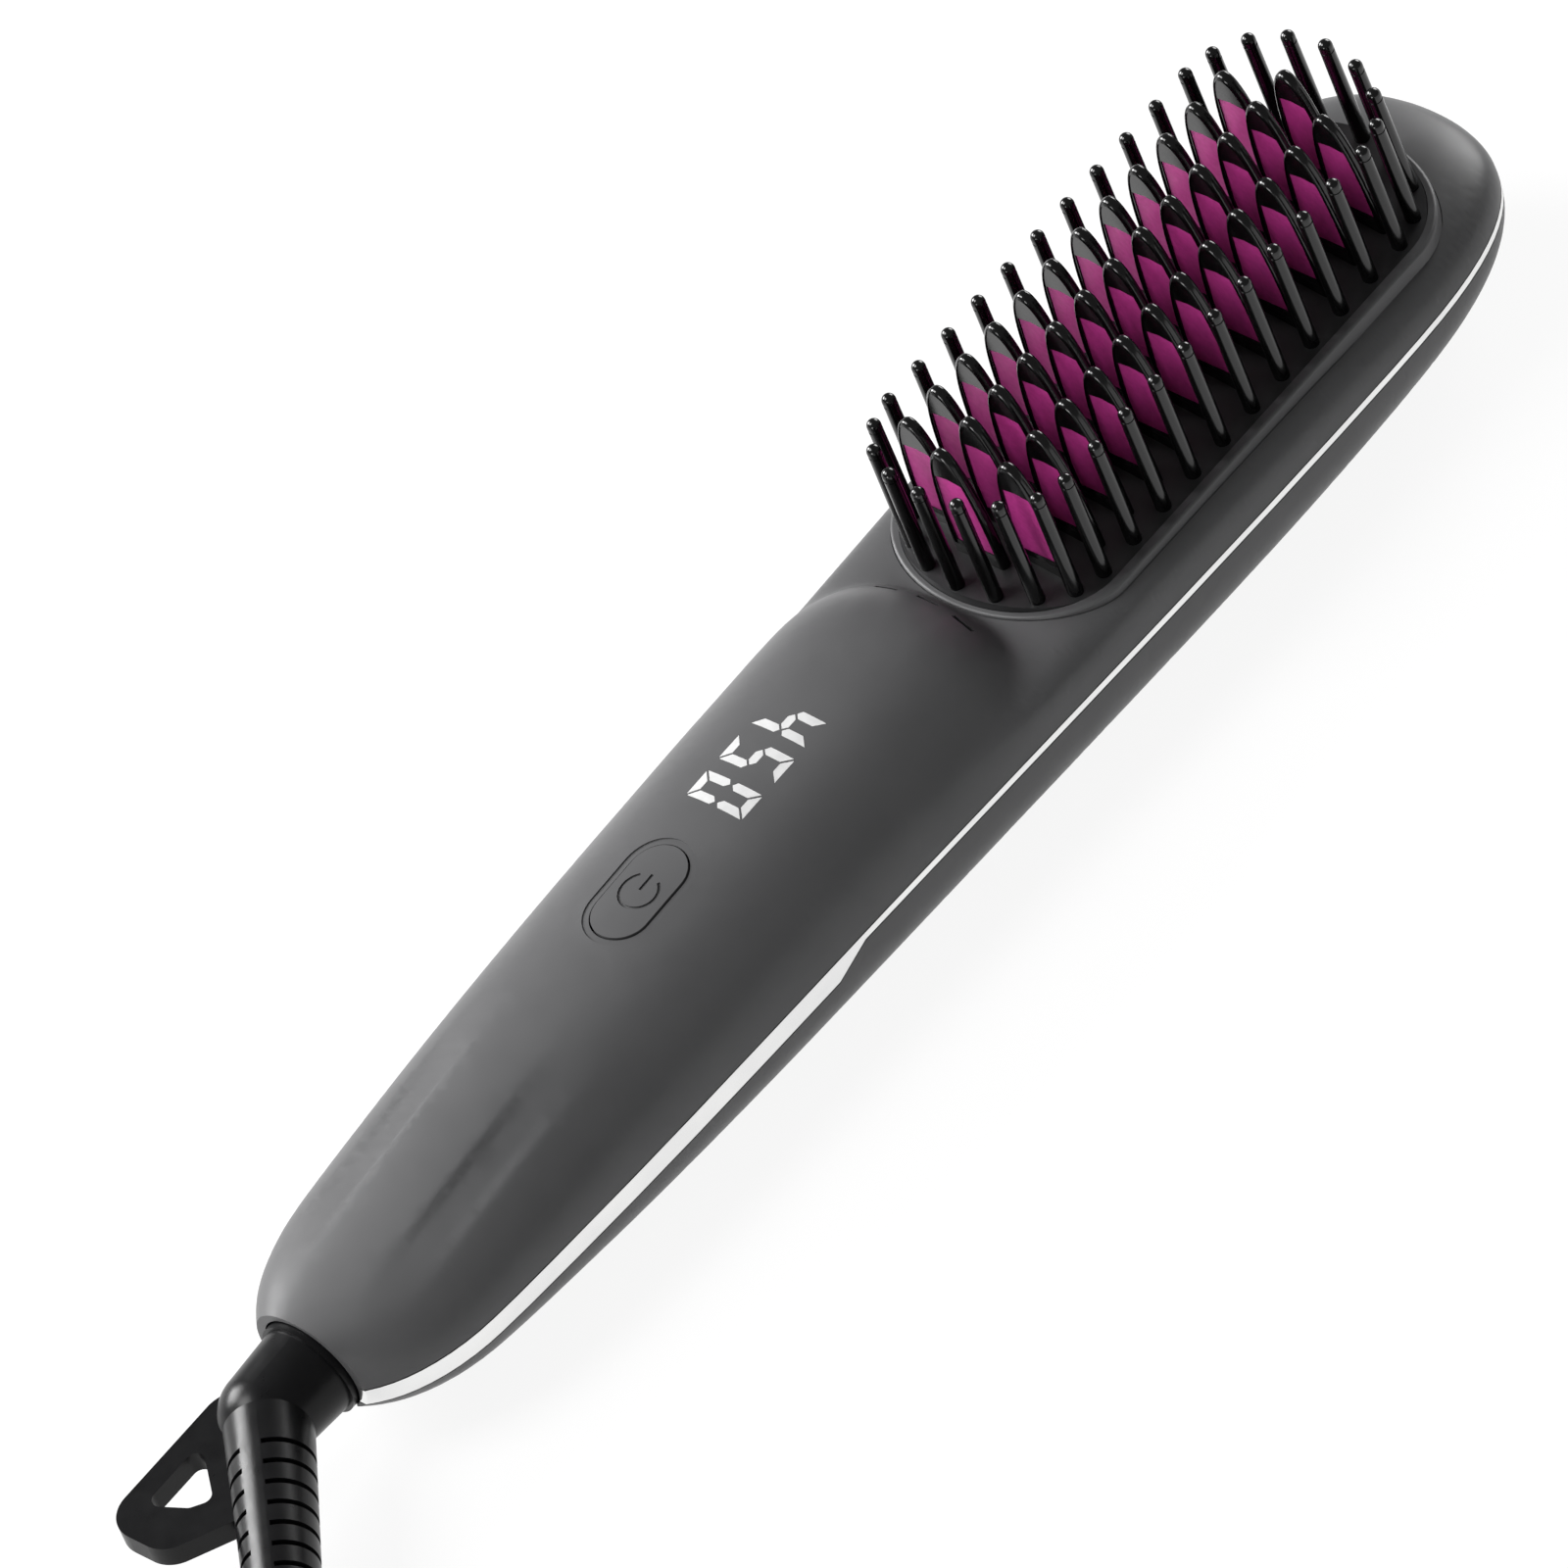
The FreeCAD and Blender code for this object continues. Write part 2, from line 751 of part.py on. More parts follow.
def crowned(low, lift):
    """Everything under the plate's crowned top, raised by a lift."""
    far = ROW_Y + 2 * size("plate_side_margin")
    arc = Part.Arc(
        Vector(0, -far, plate_top(far) + lift),
        Vector(0, 0, plate_top(0) + lift),
        Vector(0, far, plate_top(far) + lift),
    ).toShape()
    down = [
        Vector(0, far, plate_top(far) + lift),
        Vector(0, far, low),
        Vector(0, -far, low),
        Vector(0, -far, plate_top(far) + lift),
    ]
    face = Part.Face(Part.Wire([arc] + Part.makePolygon(down).Edges))
    face.translate(Vector(FIRST_X - far, 0, 0))
    return face.extrude(Vector(LAST_X - FIRST_X + 2 * far, 0, 0))


def pin_places():
    places = []
    for k in range(int(size("straight_pins"))):
        x = FIRST_X + size("pin_pitch") * k
        places += [(x, ROW_Y), (x, -ROW_Y)]
    count = int(size("end_pins"))
    for k in range(1, count + 1):
        turn = math.pi * k / (count + 1)
        out, y = size("pin_end_reach") * math.sin(turn), ROW_Y * math.cos(turn)
        places += [(FIRST_X - out, y), (LAST_X + out, y)]
    return places


def tooth_places():
    """The three staggered rows: two side rows, and one more tooth in the middle row."""
    first, pitch = size("tooth_first_x"), size("tooth_pitch")
    count = int(size("side_teeth"))
    places = []
    for k in range(count):
        places += [(first + pitch * k, size("tooth_row_y")), (first + pitch * k, -size("tooth_row_y"))]
    for k in range(count + 1):
        places.append((first + pitch * (k - 0.5), 0.0))
    return places


def guard_pin(x, y):
    """A turned pin with a round cap over a fine neck, held under the plate by its foot."""
    seat, base, radius = size("plate_seat_height"), plate_top(y), size("pin_radius")
    tip, shank = size("pin_tip_radius"), radius - size("tooth_clearance")
    top = base + size("pin_height")
    cap = top - size("pin_cap_height")
    throat = cap - size("pin_neck_width")
    neck = tip - size("pin_neck_depth")
    foot = seat - size("pin_foot_height")
    outline = [
        (0, foot),
        (size("pin_foot_radius"), foot),
        (size("pin_foot_radius"), seat),
        (shank, seat),
        (shank, base + 0.05),
        (radius, base + 0.05),
        (tip, throat),
        (neck, throat),
        (neck, cap),
        (tip, cap),
        (tip, top - tip),
    ]
    corners = [Vector(reach, 0, z) for reach, z in outline]
    edges = [Part.LineSegment(one, other).toShape() for one, other in zip(corners, corners[1:])]
    slant = tip * math.sqrt(0.5)
    crown = Vector(0, 0, top)
    edges.append(Part.Arc(corners[-1], Vector(slant, 0, top - tip + slant), crown).toShape())
    edges.append(Part.LineSegment(crown, corners[0]).toShape())
    pin = Part.Face(Part.Wire(edges)).revolve(Vector(0, 0, 0), Vector(0, 0, 1), 360)
    pin.translate(Vector(x, y, 0))
    return pin


def leaf_face(half, height, rise):
    """A leaf in the YZ plane: its flanks draw in to a round tip."""
    curve = Part.BezierCurve()
    flank = [(half, 0.0), (half, 0.5), (0.7 * half, 1.0), (0, 1.0)]
    curve.setPoles([Vector(0, y, rise + height * share) for y, share in flank])
    right = curve.toShape()
    left = mirrored(right)
    base = Part.LineSegment(Vector(0, -half, rise), Vector(0, half, rise)).toShape()
    return Part.Face(Part.Wire(Part.sortEdges([right, left, base])[0]))


def across_x(face, thickness):
    """A face in the YZ plane made into a slab centred on it."""
    face.translate(Vector(-thickness / 2, 0, 0))
    return face.extrude(Vector(thickness, 0, 0))


def panel_slab(bottom, thickness, margin, height):
    """The tooth's panel, drawn in towards its top like the hood's flanks."""
    low_half = size("panel_bottom_half_width") + margin
    top_half = size("panel_top_half_width") + margin
    top, arch = size("panel_top") - (size("hood_mid_height") - height) + margin, 0.4
    knee = 0.45 * top
    points = [
        (-low_half, bottom),
        (low_half, bottom),
        (low_half, knee),
        (top_half, top - arch),
        (0, top),
        (-top_half, top - arch),
        (-low_half, knee),
    ]
    corners = [Vector(0, y, z) for y, z in points]
    return across_x(Part.Face(Part.makePolygon(corners + corners[:1])), thickness)


def tooth_hood(height, y):
    """A hood with a rounded rim, a recess on both faces and a window for its heated tooth."""
    thickness, rim, gap = size("hood_thickness"), size("hood_rim"), size("tooth_clearance")
    root = -2 * size("plate_row_drop")
    hood = across_x(leaf_face(size("hood_half_width"), height - root, root), thickness)
    outer = [e for e in hood.Edges if abs(abs(e.CenterOfMass.x) - thickness / 2) < 1e-6]
    outer = [e for e in outer if e.BoundBox.ZMax > root + 1e-6]
    hood = hood.makeFillet(size("hood_edge_radius"), outer)
    low = size("pocket_bottom")
    pocket = across_x(leaf_face(size("hood_half_width") - rim, height - rim - low, low), 2 * thickness)
    web = thickness - 2 * size("hood_recess")
    pocket = pocket.cut(box((-web / 2, web / 2), (-height, height), (-height, 2 * height)))
    hood = hood.cut(pocket)
    hood = hood.cut(panel_slab(size("panel_bottom"), 2 * thickness, gap, height))
    hood = hood.cut(panel_slab(2 * root, size("tooth_thickness") + 2 * gap, gap, height))
    hood.translate(Vector(0, y, plate_top(y)))
    floor = crowned(plate_top(0) - 4 * size("plate_row_drop"), 0.02)
    floor.translate(Vector(-LAST_X / 2, 0, 0))
    return hood.cut(floor)


def group(shapes):
    return Part.makeCompound(shapes)


def make_bristles():
    pins, teeth = pin_places(), tooth_places()
    gap, seat = size("tooth_clearance"), size("plate_seat_height")
    ends, sides = size("plate_end_margin"), size("plate_side_margin")
    plate = stadium(ends, sides, seat, 2 * seat).common(crowned(seat, 0.0))
    holes = [upright(size("pin_radius"), x, y, seat - 1, 2 * seat) for x, y in pins]
    slot_x = size("tooth_thickness") / 2 + gap
    slot_y = size("panel_bottom_half_width") + gap
    for x, y in teeth:
        holes.append(box((x - slot_x, x + slot_x), (y - slot_y, y + slot_y), (seat - 1, 2 * seat)))
    keep_shape("bristle_plate", plate.cut(holes))
    keep_shape("guard_pins", group([guard_pin(x, y) for x, y in pins]))

    row_y = size("tooth_row_y")
    models = {
        0.0: tooth_hood(size("hood_mid_height"), 0.0),
        row_y: tooth_hood(size("hood_side_height"), row_y),
    }
    models[-row_y] = mirrored(models[row_y])
    hoods = []
    for x, y in teeth:
        hood = models[y].copy()
        hood.translate(Vector(x, 0, 0))
        hoods.append(hood)
    keep_shape("tooth_hoods", group(hoods))

    low = size("comb_top_height") - size("comb_thickness")
    inset = -size("comb_inset")
    comb = stadium(inset, inset, low, size("comb_top_height"))
    slabs = []
    for x, y in teeth:
        height = size("hood_mid_height") if y == 0 else size("hood_side_height")
        slab = panel_slab(low + 1 - plate_top(y), size("tooth_thickness"), 0.0, height)
        slab.translate(Vector(x, y, plate_top(y)))
        slabs.append(slab)
    comb = comb.fuse(slabs).removeSplitter()
    keep_shape("heating_comb", comb.cut(group(heater_screw_shanks(size("screw_gap")))))


# Heater stack under the comb

FIELD_X = (FIRST_X + LAST_X) / 2


def heater_screw_places():
    x = size("tray_length") / 2 - size("heater_screw_inset")
    y = size("heater_screw_y")
    return [(FIELD_X + sx * x, sy * y) for sx in (-1, 1) for sy in (-1, 1)]


def clamp_bottom():
    heaters = size("comb_top_height") - size("comb_thickness") - size("heater_thickness")
    return heaters - size("clamp_thickness")


def heater_screw_shanks(gap):
    top = size("comb_top_height") - 0.5
    radius = size("heater_screw_radius") + gap
    return [upright(radius, x, y, clamp_bottom(), top) for x, y in heater_screw_places()]


def make_heater():
    low = clamp_bottom()
    field = "(Sizes.first_pin_x + Sizes.pin_pitch * (Sizes.straight_pins - 1) / 2)"
    under_comb = "(Sizes.comb_top_height - Sizes.comb_thickness)"
    under_heaters = f"({under_comb} - Sizes.heater_thickness)"
    strips = []
    for side, way in (("left", "+"), ("right", "-")):
        strips.append(
            primitive(
                "Part::Box",
                f"heater_{side}",
                {
                    "Length": "Sizes.heater_length",
                    "Width": "Sizes.heater_width",
                    "Height": "Sizes.heater_thickness",
                },
                (
                    f"{field} - Sizes.heater_length / 2",
                    f"{way}Sizes.heater_row_y - Sizes.heater_width / 2",
                    under_heaters,
                ),
            )
        )
    pair = doc.addObject("Part::Compound", "ceramic_heaters")
    pair.Links = strips
    keep(pair, "ceramic_heaters")

    half = size("tray_length") / 2 - size("clamp_lip")
    across = size("tray_width") / 2 - size("clamp_lip")
    clamp = box((FIELD_X - half, FIELD_X + half), (-across, across), (low, low + size("clamp_thickness")))
    keep_shape("heater_clamp", clamp.cut(heater_screw_shanks(size("screw_gap"))))

    tray = primitive(
        "Part::Box",
        "tray_block",
        {
            "Length": "Sizes.tray_length",
            "Width": "Sizes.tray_width",
            "Height": f"{under_heaters} - Sizes.clamp_thickness - Sizes.tray_foot_height",
        },
        (f"{field} - Sizes.tray_length / 2", "-Sizes.tray_width / 2", "Sizes.tray_foot_height"),
    )
    hollow = primitive(
        "Part::Box",
        "tray_hollow",
        {
            "Length": "Sizes.tray_length - 2 * Sizes.tray_wall",
            "Width": "Sizes.tray_width - 2 * Sizes.tray_wall",
            "Height": "Sizes.seam_height",
        },
        (
            f"{field} - Sizes.tray_length / 2 + Sizes.tray_wall",
            "-Sizes.tray_width / 2 + Sizes.tray_wall",
            "Sizes.tray_foot_height + Sizes.tray_wall",
        ),
    )
    keep(combine("Part::Cut", "heater_tray", tray, hollow), "heater_tray")

    screws = []
    for (x, y), shank in zip(heater_screw_places(), heater_screw_shanks(0.0)):
        head = upright(size("heater_screw_head_radius"), x, y, low - size("heater_screw_head_height"), low)
        screws.append(head.fuse(shank))
    keep_shape("heater_screws", group(screws))

    fuse = primitive(
        "Part::Cylinder",
        "thermal_fuse",
        {"Radius": "Sizes.fuse_radius", "Height": "Sizes.fuse_length"},
        (
            f"{field} - Sizes.fuse_length / 2",
            "0",
            f"{under_heaters} - Sizes.clamp_thickness - Sizes.fuse_radius - Sizes.stack_gap",
        ),
    )
    fuse.Placement.Rotation = Rotation(Vector(0, 1, 0), 90)
    keep(fuse, "thermal_fuse")
    bead = primitive(
        "Part::Sphere",
        "thermistor",
        {"Radius": "Sizes.thermistor_radius"},
        (
            f"{field} + Sizes.fuse_length * 1.5",
            "0",
            f"{under_heaters} - Sizes.clamp_thickness - Sizes.thermistor_radius - Sizes.stack_gap",
        ),
    )
    keep(bead, "thermistor")


# Electronics

BOARD_BOTTOM = size("board_top_height") - size("board_thickness")


def board_posts():
    x = size("board_length") / 2 - size("post_inset_x")
    return [(size("board_x") + sx * x, sy * size("post_y")) for sx in (-1, 1) for sy in (-1, 1)]


def digit_segments():
    """Seven lit bars of a digit, each a polygon in its own box, by the usual letters a to g."""
    w, tall = size("digit_width"), size("digit_height")
    s, g = size("digit_stroke"), size("digit_gap")
    mid = tall / 2
    bars = {
        "a": [(g, tall), (w - g, tall), (w - s - g, tall - s), (s + g, tall - s)],
        "f": [(0, tall - g), (s, tall - s - g), (s, mid + s / 2 + g), (s / 2, mid + g), (0, mid + s / 2)],
        "g": [
            (s / 2 + g, mid),
            (s + g, mid + s / 2),
            (w - s - g, mid + s / 2),
            (w - s / 2 - g, mid),
            (w - s - g, mid - s / 2),
            (s + g, mid - s / 2),
        ],
    }
    bars["d"] = [(x, tall - y) for x, y in bars["a"]]
    bars["b"] = [(w - x, y) for x, y in bars["f"]]
    bars["e"] = [(x, tall - y) for x, y in bars["f"]]
    bars["c"] = [(w - x, tall - y) for x, y in bars["f"]]
    return bars


def lit_bars(shrink):
    """The bars of the shown number, 450, read from the head towards the cord."""
    bars, places = digit_segments(), []
    for place, letters in ((-1, "bcfg"), (0, "acdfg"), (1, "abcdef")):
        for letter in letters:
            points = [
                (
                    size("digits_x") - place * size("digit_pitch") - (x - size("digit_width") / 2),
                    -(y - size("digit_height") / 2),
                )
                for x, y in bars[letter]
            ]
            cx = sum(x for x, _ in points) / len(points)
            cy = sum(y for _, y in points) / len(points)
            places.append([(x + (cx - x) * shrink, y + (cy - y) * shrink) for x, y in points])
    return places


def make_electronics():
    plate_body(
        "control_board",
        "Sizes.board_length",
        "Sizes.board_width",
        "Sizes.board_thickness",
        ("Sizes.board_x", "0", "Sizes.board_top_height - Sizes.board_thickness"),
    )
    plate_body(
        "display_module",
        "Sizes.display_length",
        "Sizes.display_width",
        "Sizes.display_top_height - Sizes.board_top_height",
        ("Sizes.digits_x", "0", "Sizes.board_top_height"),
    )
    low, high = size("display_top_height"), size("crown_height") + 1
    bars = [prism(points, low, high).common(FRONT) for points in lit_bars(0.04)]
    keep_shape("display_segments", group(bars))

    floor = "(Sizes.trim_depth + Sizes.wall + Sizes.stack_gap)"
    generator = primitive(
        "Part::Box",
        "ion_generator",
        {"Length": "Sizes.ion_length", "Width": "Sizes.ion_width", "Height": "Sizes.ion_height"},
        ("Sizes.ion_x - Sizes.ion_length / 2", "-Sizes.ion_width / 2", floor),
    )
    keep(generator, "ion_generator")
    base = size("trim_depth") + size("wall") + size("stack_gap") + size("ion_height")
    x = size("ion_slot_x") - size("emitter_setback")
    needles = [
        upright(size("emitter_radius"), x, side * size("ion_slot_y"), base, size("ion_chamber_height") - 1)
        for side in (-1, 0, 1)
    ]
    keep_shape("ion_emitters", group(needles))


# Button

def obround(x, length, width, low, high):
    """A round-ended bar along X."""
    radius = width / 2
    run = length / 2 - radius
    bar = box((x - run, x + run), (-radius, radius), (low, high))
    ends = [upright(radius, x + side * run, 0, low, high) for side in (-1, 1)]
    return bar.fuse(ends).removeSplitter()


def sunk(shape, depth):
    """The part of a tool that lies within a depth under the front's surface."""
    lowered = FRONT.copy()
    lowered.translate(Vector(0, 0, -depth))
    return shape.cut(lowered)


def power_sign(low, high):
    """A ring open towards the head, with a bar in its opening."""
    x, stroke, radius = size("button_x"), size("sign_stroke"), size("sign_radius")
    gap = size("sign_gap_degrees")
    ring = Part.makeCylinder(
        radius + stroke / 2, high - low, Vector(x, 0, low), Vector(0, 0, 1), 360 - gap
    )
    ring.rotate(Vector(x, 0, low), Vector(0, 0, 1), gap / 2)
    ring = ring.cut(upright(radius - stroke / 2, x, 0, low, high))
    far = x + radius + stroke / 2
    bar = box((far - size("sign_bar"), far), (-stroke / 2, stroke / 2), (low, high))
    return ring.fuse(bar)


def make_button():
    x, low = size("button_x"), size("button_flange_height")
    high = size("crown_height") + 2
    length, width = size("button_length"), size("button_width")
    key = obround(x, length, width, low, high).common(FRONT)
    flange = size("button_flange")
    key = key.fuse(
        obround(x, length + 2 * flange, width + 2 * flange, low, low + size("button_flange_thickness"))
    )
    key = key.removeSplitter().cut(sunk(power_sign(low, high), size("sign_depth")))
    keep_shape("power_button", key)

    plunger = primitive(
        "Part::Cylinder",
        "switch_plunger",
        {"Radius": "Sizes.plunger_radius", "Height": "Sizes.plunger_height"},
        ("Sizes.button_x", "0", "Sizes.button_flange_height - Sizes.plunger_height"),
    )
    keep(plunger, "switch_plunger")
    case = primitive(
        "Part::Box",
        "switch_case",
        {"Length": "Sizes.switch_size", "Width": "Sizes.switch_size", "Height": "Sizes.switch_height"},
        (
            "Sizes.button_x - Sizes.switch_size / 2",
            "-Sizes.switch_size / 2",
            "Sizes.board_top_height",
        ),
    )
    well = primitive(
        "Part::Cylinder",
        "switch_well",
        {
            "Radius": "Sizes.plunger_radius + Sizes.button_gap",
            "Height": "Sizes.plunger_height + Sizes.button_travel + Sizes.button_gap",
        },
        (
            "Sizes.button_x",
            "0",
            "Sizes.button_flange_height - Sizes.plunger_height - Sizes.button_travel - Sizes.button_gap",
        ),
    )
    keep(combine("Part::Cut", "tact_switch", case, well), "tact_switch")


# Housing

def screw_places():
    """Where each case screw stands, and how far its head is sunk."""
    places = []
    for side in (-1, 1):
        places.append((size("screw_rear_x"), side * size("screw_rear_y"), size("screw_rear_sink")))
        places.append((size("screw_front_x"), side * size("screw_front_y"), size("screw_front_sink")))
    return places


def screw_cuts(gap):
    """Shank and head of each case screw, or the holes for them with a gap."""
    tools = []
    for x, y, sink in screw_places():
        head_top = sink + size("screw_head_height")
        shank = upright(size("screw_radius") + gap, x, y, sink, size("screw_top_height") + gap)
        base = -1 if gap else sink
        tools.append(upright(size("screw_head_radius") + gap, x, y, base, head_top).fuse(shank))
    return tools


def collar_axis(radius, start, end):
    return Part.makeCylinder(radius, end - start, Vector(start, 0, SEAM), Vector(1, 0, 0))


def clip_room():
    """The room behind the cradle for the swivel's clip and slip rings."""
    start = size("cradle_x") + size("cradle_thickness")
    return collar_axis(size("clip_radius") + size("clip_gap"), start, size("hub_end_x") + size("clip_gap"))


def cradle(low, high):
    """The wall inside the butt that the swivel hub turns in, before it is cut to the shell."""
    x, far = size("cradle_x"), size("butt_half_width")
    wall = box((x, x + size("cradle_thickness")), (-far, far), (low, high))
    journal = size("hub_journal_radius") + size("hub_running_gap")
    return wall.cut(collar_axis(journal, x - 1, x + size("cradle_thickness") + 1))


def make_front_shell():
    high = 2 * size("crown_height")
    seat = size("plate_seat_height")
    standing = [upright(size("boss_radius"), x, y, SEAM, high) for x, y, _ in screw_places()]
    shell = FRONT.cut(handle_cavity().cut(standing + [cradle(SEAM, high)]))
    gap, room = size("seat_margin"), size("opening_gap")
    ends, sides = size("bezel_end_margin") + room, size("bezel_side_margin") + room
    cuts = [
        stadium(gap, gap, SEAM - 1, high),
        stadium(ends, sides, seat, high),
        stadium(ends, sides, SEAM - 1, seat - size("seat_thickness")),
    ]
    chamber = size("ion_chamber_half_width")
    chamber_x = (size("ion_slot_x") - size("ion_chamber_length"), size("ion_slot_x") + 1)
    cuts.append(box(chamber_x, (-chamber, chamber), (SEAM - 1, size("ion_chamber_height"))))
    for place in (-1, 0, 1):
        x, y = size("ion_slot_x") - size("ion_slot_step") * abs(place), place * size("ion_slot_y")
        long, wide = size("ion_slot_length") / 2, size("ion_slot_width") / 2
        slot = box((x - wide, x + wide), (y - long, y + long), (size("ion_chamber_height") - 1, high))
        slot.rotate(Vector(x, y, 0), Vector(0, 0, 1), size("ion_slot_degrees") * place)
        cuts.append(slot)
    gap = size("button_gap")
    length, width = size("button_length"), size("button_width")
    cuts.append(obround(size("button_x"), length + 2 * gap, width + 2 * gap, SEAM + 2, high))
    rim = 2 * size("button_dish")
    dish = obround(size("button_x"), length + rim, width + rim, SEAM + 2, high)
    cuts.append(sunk(dish, size("button_dish_depth")))
    cuts += [prism(points, SEAM + 2, high) for points in lit_bars(0.0)]
    cuts.append(collar_axis(size("collar_hole_radius"), -LENGTH - 1, size("cradle_x")))
    cuts.append(clip_room())
    cuts += screw_cuts(size("screw_gap"))
    for tool in cuts:
        shell = shell.cut(tool)
    keep_shape("front_shell", shell)


def trim_region(groove):
    """The side view of the band, swept right across: tall on the grip, thin on the head."""
    step, run = size("trim_step_x"), size("trim_step_run")
    grip, head = SEAM - size("trim_grip_height"), SEAM - size("trim_head_height")
    far = 2 * LENGTH
    points = [
        (-far, SEAM - groove),
        (-far, grip + groove),
        (step - run / 2, grip + groove),
        (step + run / 2, head + groove),
        (far, head + groove),
        (far, SEAM - groove),
    ]
    corners = [Vector(x, -far, z) for x, z in points]
    return Part.Face(Part.makePolygon(corners + corners[:1])).extrude(Vector(0, 2 * far, 0))


def trim_layer(inner, groove):
    """The outer layer of the back along the seam: one side, mirrored onto the other round the tip."""
    far = 2 * LENGTH
    near_side = box((-far, far), (-far, 0), (-far, far))
    side = HULL.common(trim_region(groove)).common(near_side).cut(inner)
    return side.fuse(mirrored(side))


def make_back_and_trim():
    inner = hull_solid(size("trim_depth"))
    collar = collar_axis(size("collar_hole_radius"), -LENGTH - 1, size("cradle_x"))
    keep_shape("trim_band", trim_layer(inner, size("trim_groove")).cut(collar))
    hollow = hull_solid(size("trim_depth") + size("wall"))
    shell = HULL.cut(trim_layer(inner, 0.0)).cut(hollow)
    stops = [(x, y, BOARD_BOTTOM, size("post_radius")) for x, y in board_posts()]
    stops += [(x, y, SEAM, size("boss_radius")) for x, y, _ in screw_places()]
    tray_x = size("tray_length") / 2 - 2 * size("boss_radius")
    tray_y = size("tray_width") / 2 - 2 * size("boss_radius")
    foot = size("tray_foot_height")
    for sx in (-1, 1):
        for sy in (-1, 1):
            stops.append((FIELD_X + sx * tray_x, sy * tray_y, foot, size("boss_radius")))
    posts = []
    for x, y, top, radius in stops:
        post = upright(radius, x, y, 0, min(top, SEAM)).common(HULL)
        if top > SEAM:
            post = post.fuse(upright(radius, x, y, SEAM / 2, top))
        posts.append(post)
    shell = shell.fuse(posts + [cradle(0, SEAM).common(inner)]).removeSplitter()
    cuts = [collar]
    cuts.append(clip_room())
    cuts += screw_cuts(size("screw_gap"))
    for tool in cuts:
        shell = shell.cut(tool)
    keep_shape("back_shell", shell)
    keep_shape("case_screws", group(screw_cuts(0.0)))


def make_bezel():
    seat, top = size("plate_seat_height"), size("bezel_top_height")
    ring = stadium(size("bezel_end_margin"), size("bezel_side_margin"), seat, top)
    edges = [e for e in ring.Edges if e.BoundBox.ZMin > top - 1e-6]
    ring = ring.makeFillet(size("bezel_edge_radius"), edges)
    ends = size("plate_end_margin") + size("bezel_gap")
    sides = size("plate_side_margin") + size("bezel_gap")
    keep_shape("bezel_ring", ring.cut(stadium(ends, sides, seat - 1, top + 1)))


# Swivel, elbow and lead

def make_swivel():
    start = "(Sizes.hub_flange_x - Sizes.hub_stem_length)"
    flange = "Sizes.hub_stem_length"
    rib = f"(Sizes.cradle_x - {start})"
    journal_end = f"({rib} + Sizes.cradle_thickness + Sizes.stack_gap)"
    groove_end = f"({journal_end} + Sizes.clip_thickness)"
    end = f"(Sizes.hub_end_x - {start})"
    core, journal = "Sizes.hub_core_radius", "Sizes.hub_journal_radius"
    turned_body(
        "swivel_hub",
        [
            ("0", "Sizes.hub_bore_radius"),
            ("0", "Sizes.hub_stem_radius"),
            (flange, "Sizes.hub_stem_radius"),
            (flange, "Sizes.hub_flange_radius"),
            (f"{rib} - Sizes.stack_gap", "Sizes.hub_flange_radius"),
            (f"{rib} - Sizes.stack_gap", journal),
            (journal_end, journal),
            (journal_end, core),
            (end, core),
            (end, "Sizes.hub_bore_radius"),
        ],
        (start, "0", "Sizes.seam_height"),
    )
    turned_body(
        "swivel_clip",
        [
            ("0", f"{core} + Sizes.tooth_clearance"),
            ("0", "Sizes.clip_radius"),
            ("Sizes.clip_thickness", "Sizes.clip_radius"),
            ("Sizes.clip_thickness", f"{core} + Sizes.tooth_clearance"),
        ],
        ("Sizes.cradle_x + Sizes.cradle_thickness + Sizes.stack_gap", "0", "Sizes.seam_height"),
    )
    rings, contacts = [], []
    for x, side in ((size("ring_one_x"), 1), (size("ring_two_x"), -1)):
        ring = collar_axis(size("ring_radius"), x, x + size("ring_width"))
        bore = size("hub_core_radius") + size("tooth_clearance")
        rings.append(ring.cut(collar_axis(bore, x - 1, x + size("ring_width") + 1)))
        near = size("ring_radius") + size("contact_gap")
        across = sorted((side * near, side * (near + size("contact_thickness"))))
        board_end = size("board_x") - size("board_length") / 2
        finger = box((x, x + size("ring_width")), across, (SEAM - 4, BOARD_BOTTOM))
        arm = box((x, board_end + 6), across, (BOARD_BOTTOM - 2, BOARD_BOTTOM))
        contacts.append(finger.fuse(arm).removeSplitter())
    keep_shape("slip_rings", group(rings))
    keep_shape("contact_springs", group(contacts))


BEND = math.radians(size("elbow_degrees"))
VERTEX = Vector(size("elbow_vertex_x"), 0, SEAM)
LEG_WAY = Vector(-math.cos(BEND), -math.sin(BEND), 0)


def rounded_polygon(points, radius):
    """A closed plan outline whose corners are all rounded alike."""
    edges, count = [], len(points)
    spans = []
    for i in range(count):
        corner = points[i]
        before = (points[i - 1] - corner).normalize()
        after = (points[(i + 1) % count] - corner).normalize()
        half = before.getAngle(after) / 2
        reach = radius / math.tan(half)
        centre = corner + (before + after).normalize() * (radius / math.sin(half))
        middle = centre + (corner - centre).normalize() * radius
        spans.append((corner + before * reach, middle, corner + after * reach))
    for i in range(count):
        start, middle, end = spans[i]
        edges.append(Part.Arc(start, middle, end).toShape())
        edges.append(Part.LineSegment(end, spans[(i + 1) % count][0]).toShape())
    return Part.Wire(edges)


def plan_slab(wire, low, high):
    face = Part.Face(wire)
    face.translate(Vector(0, 0, low))
    return face.extrude(Vector(0, 0, high - low))


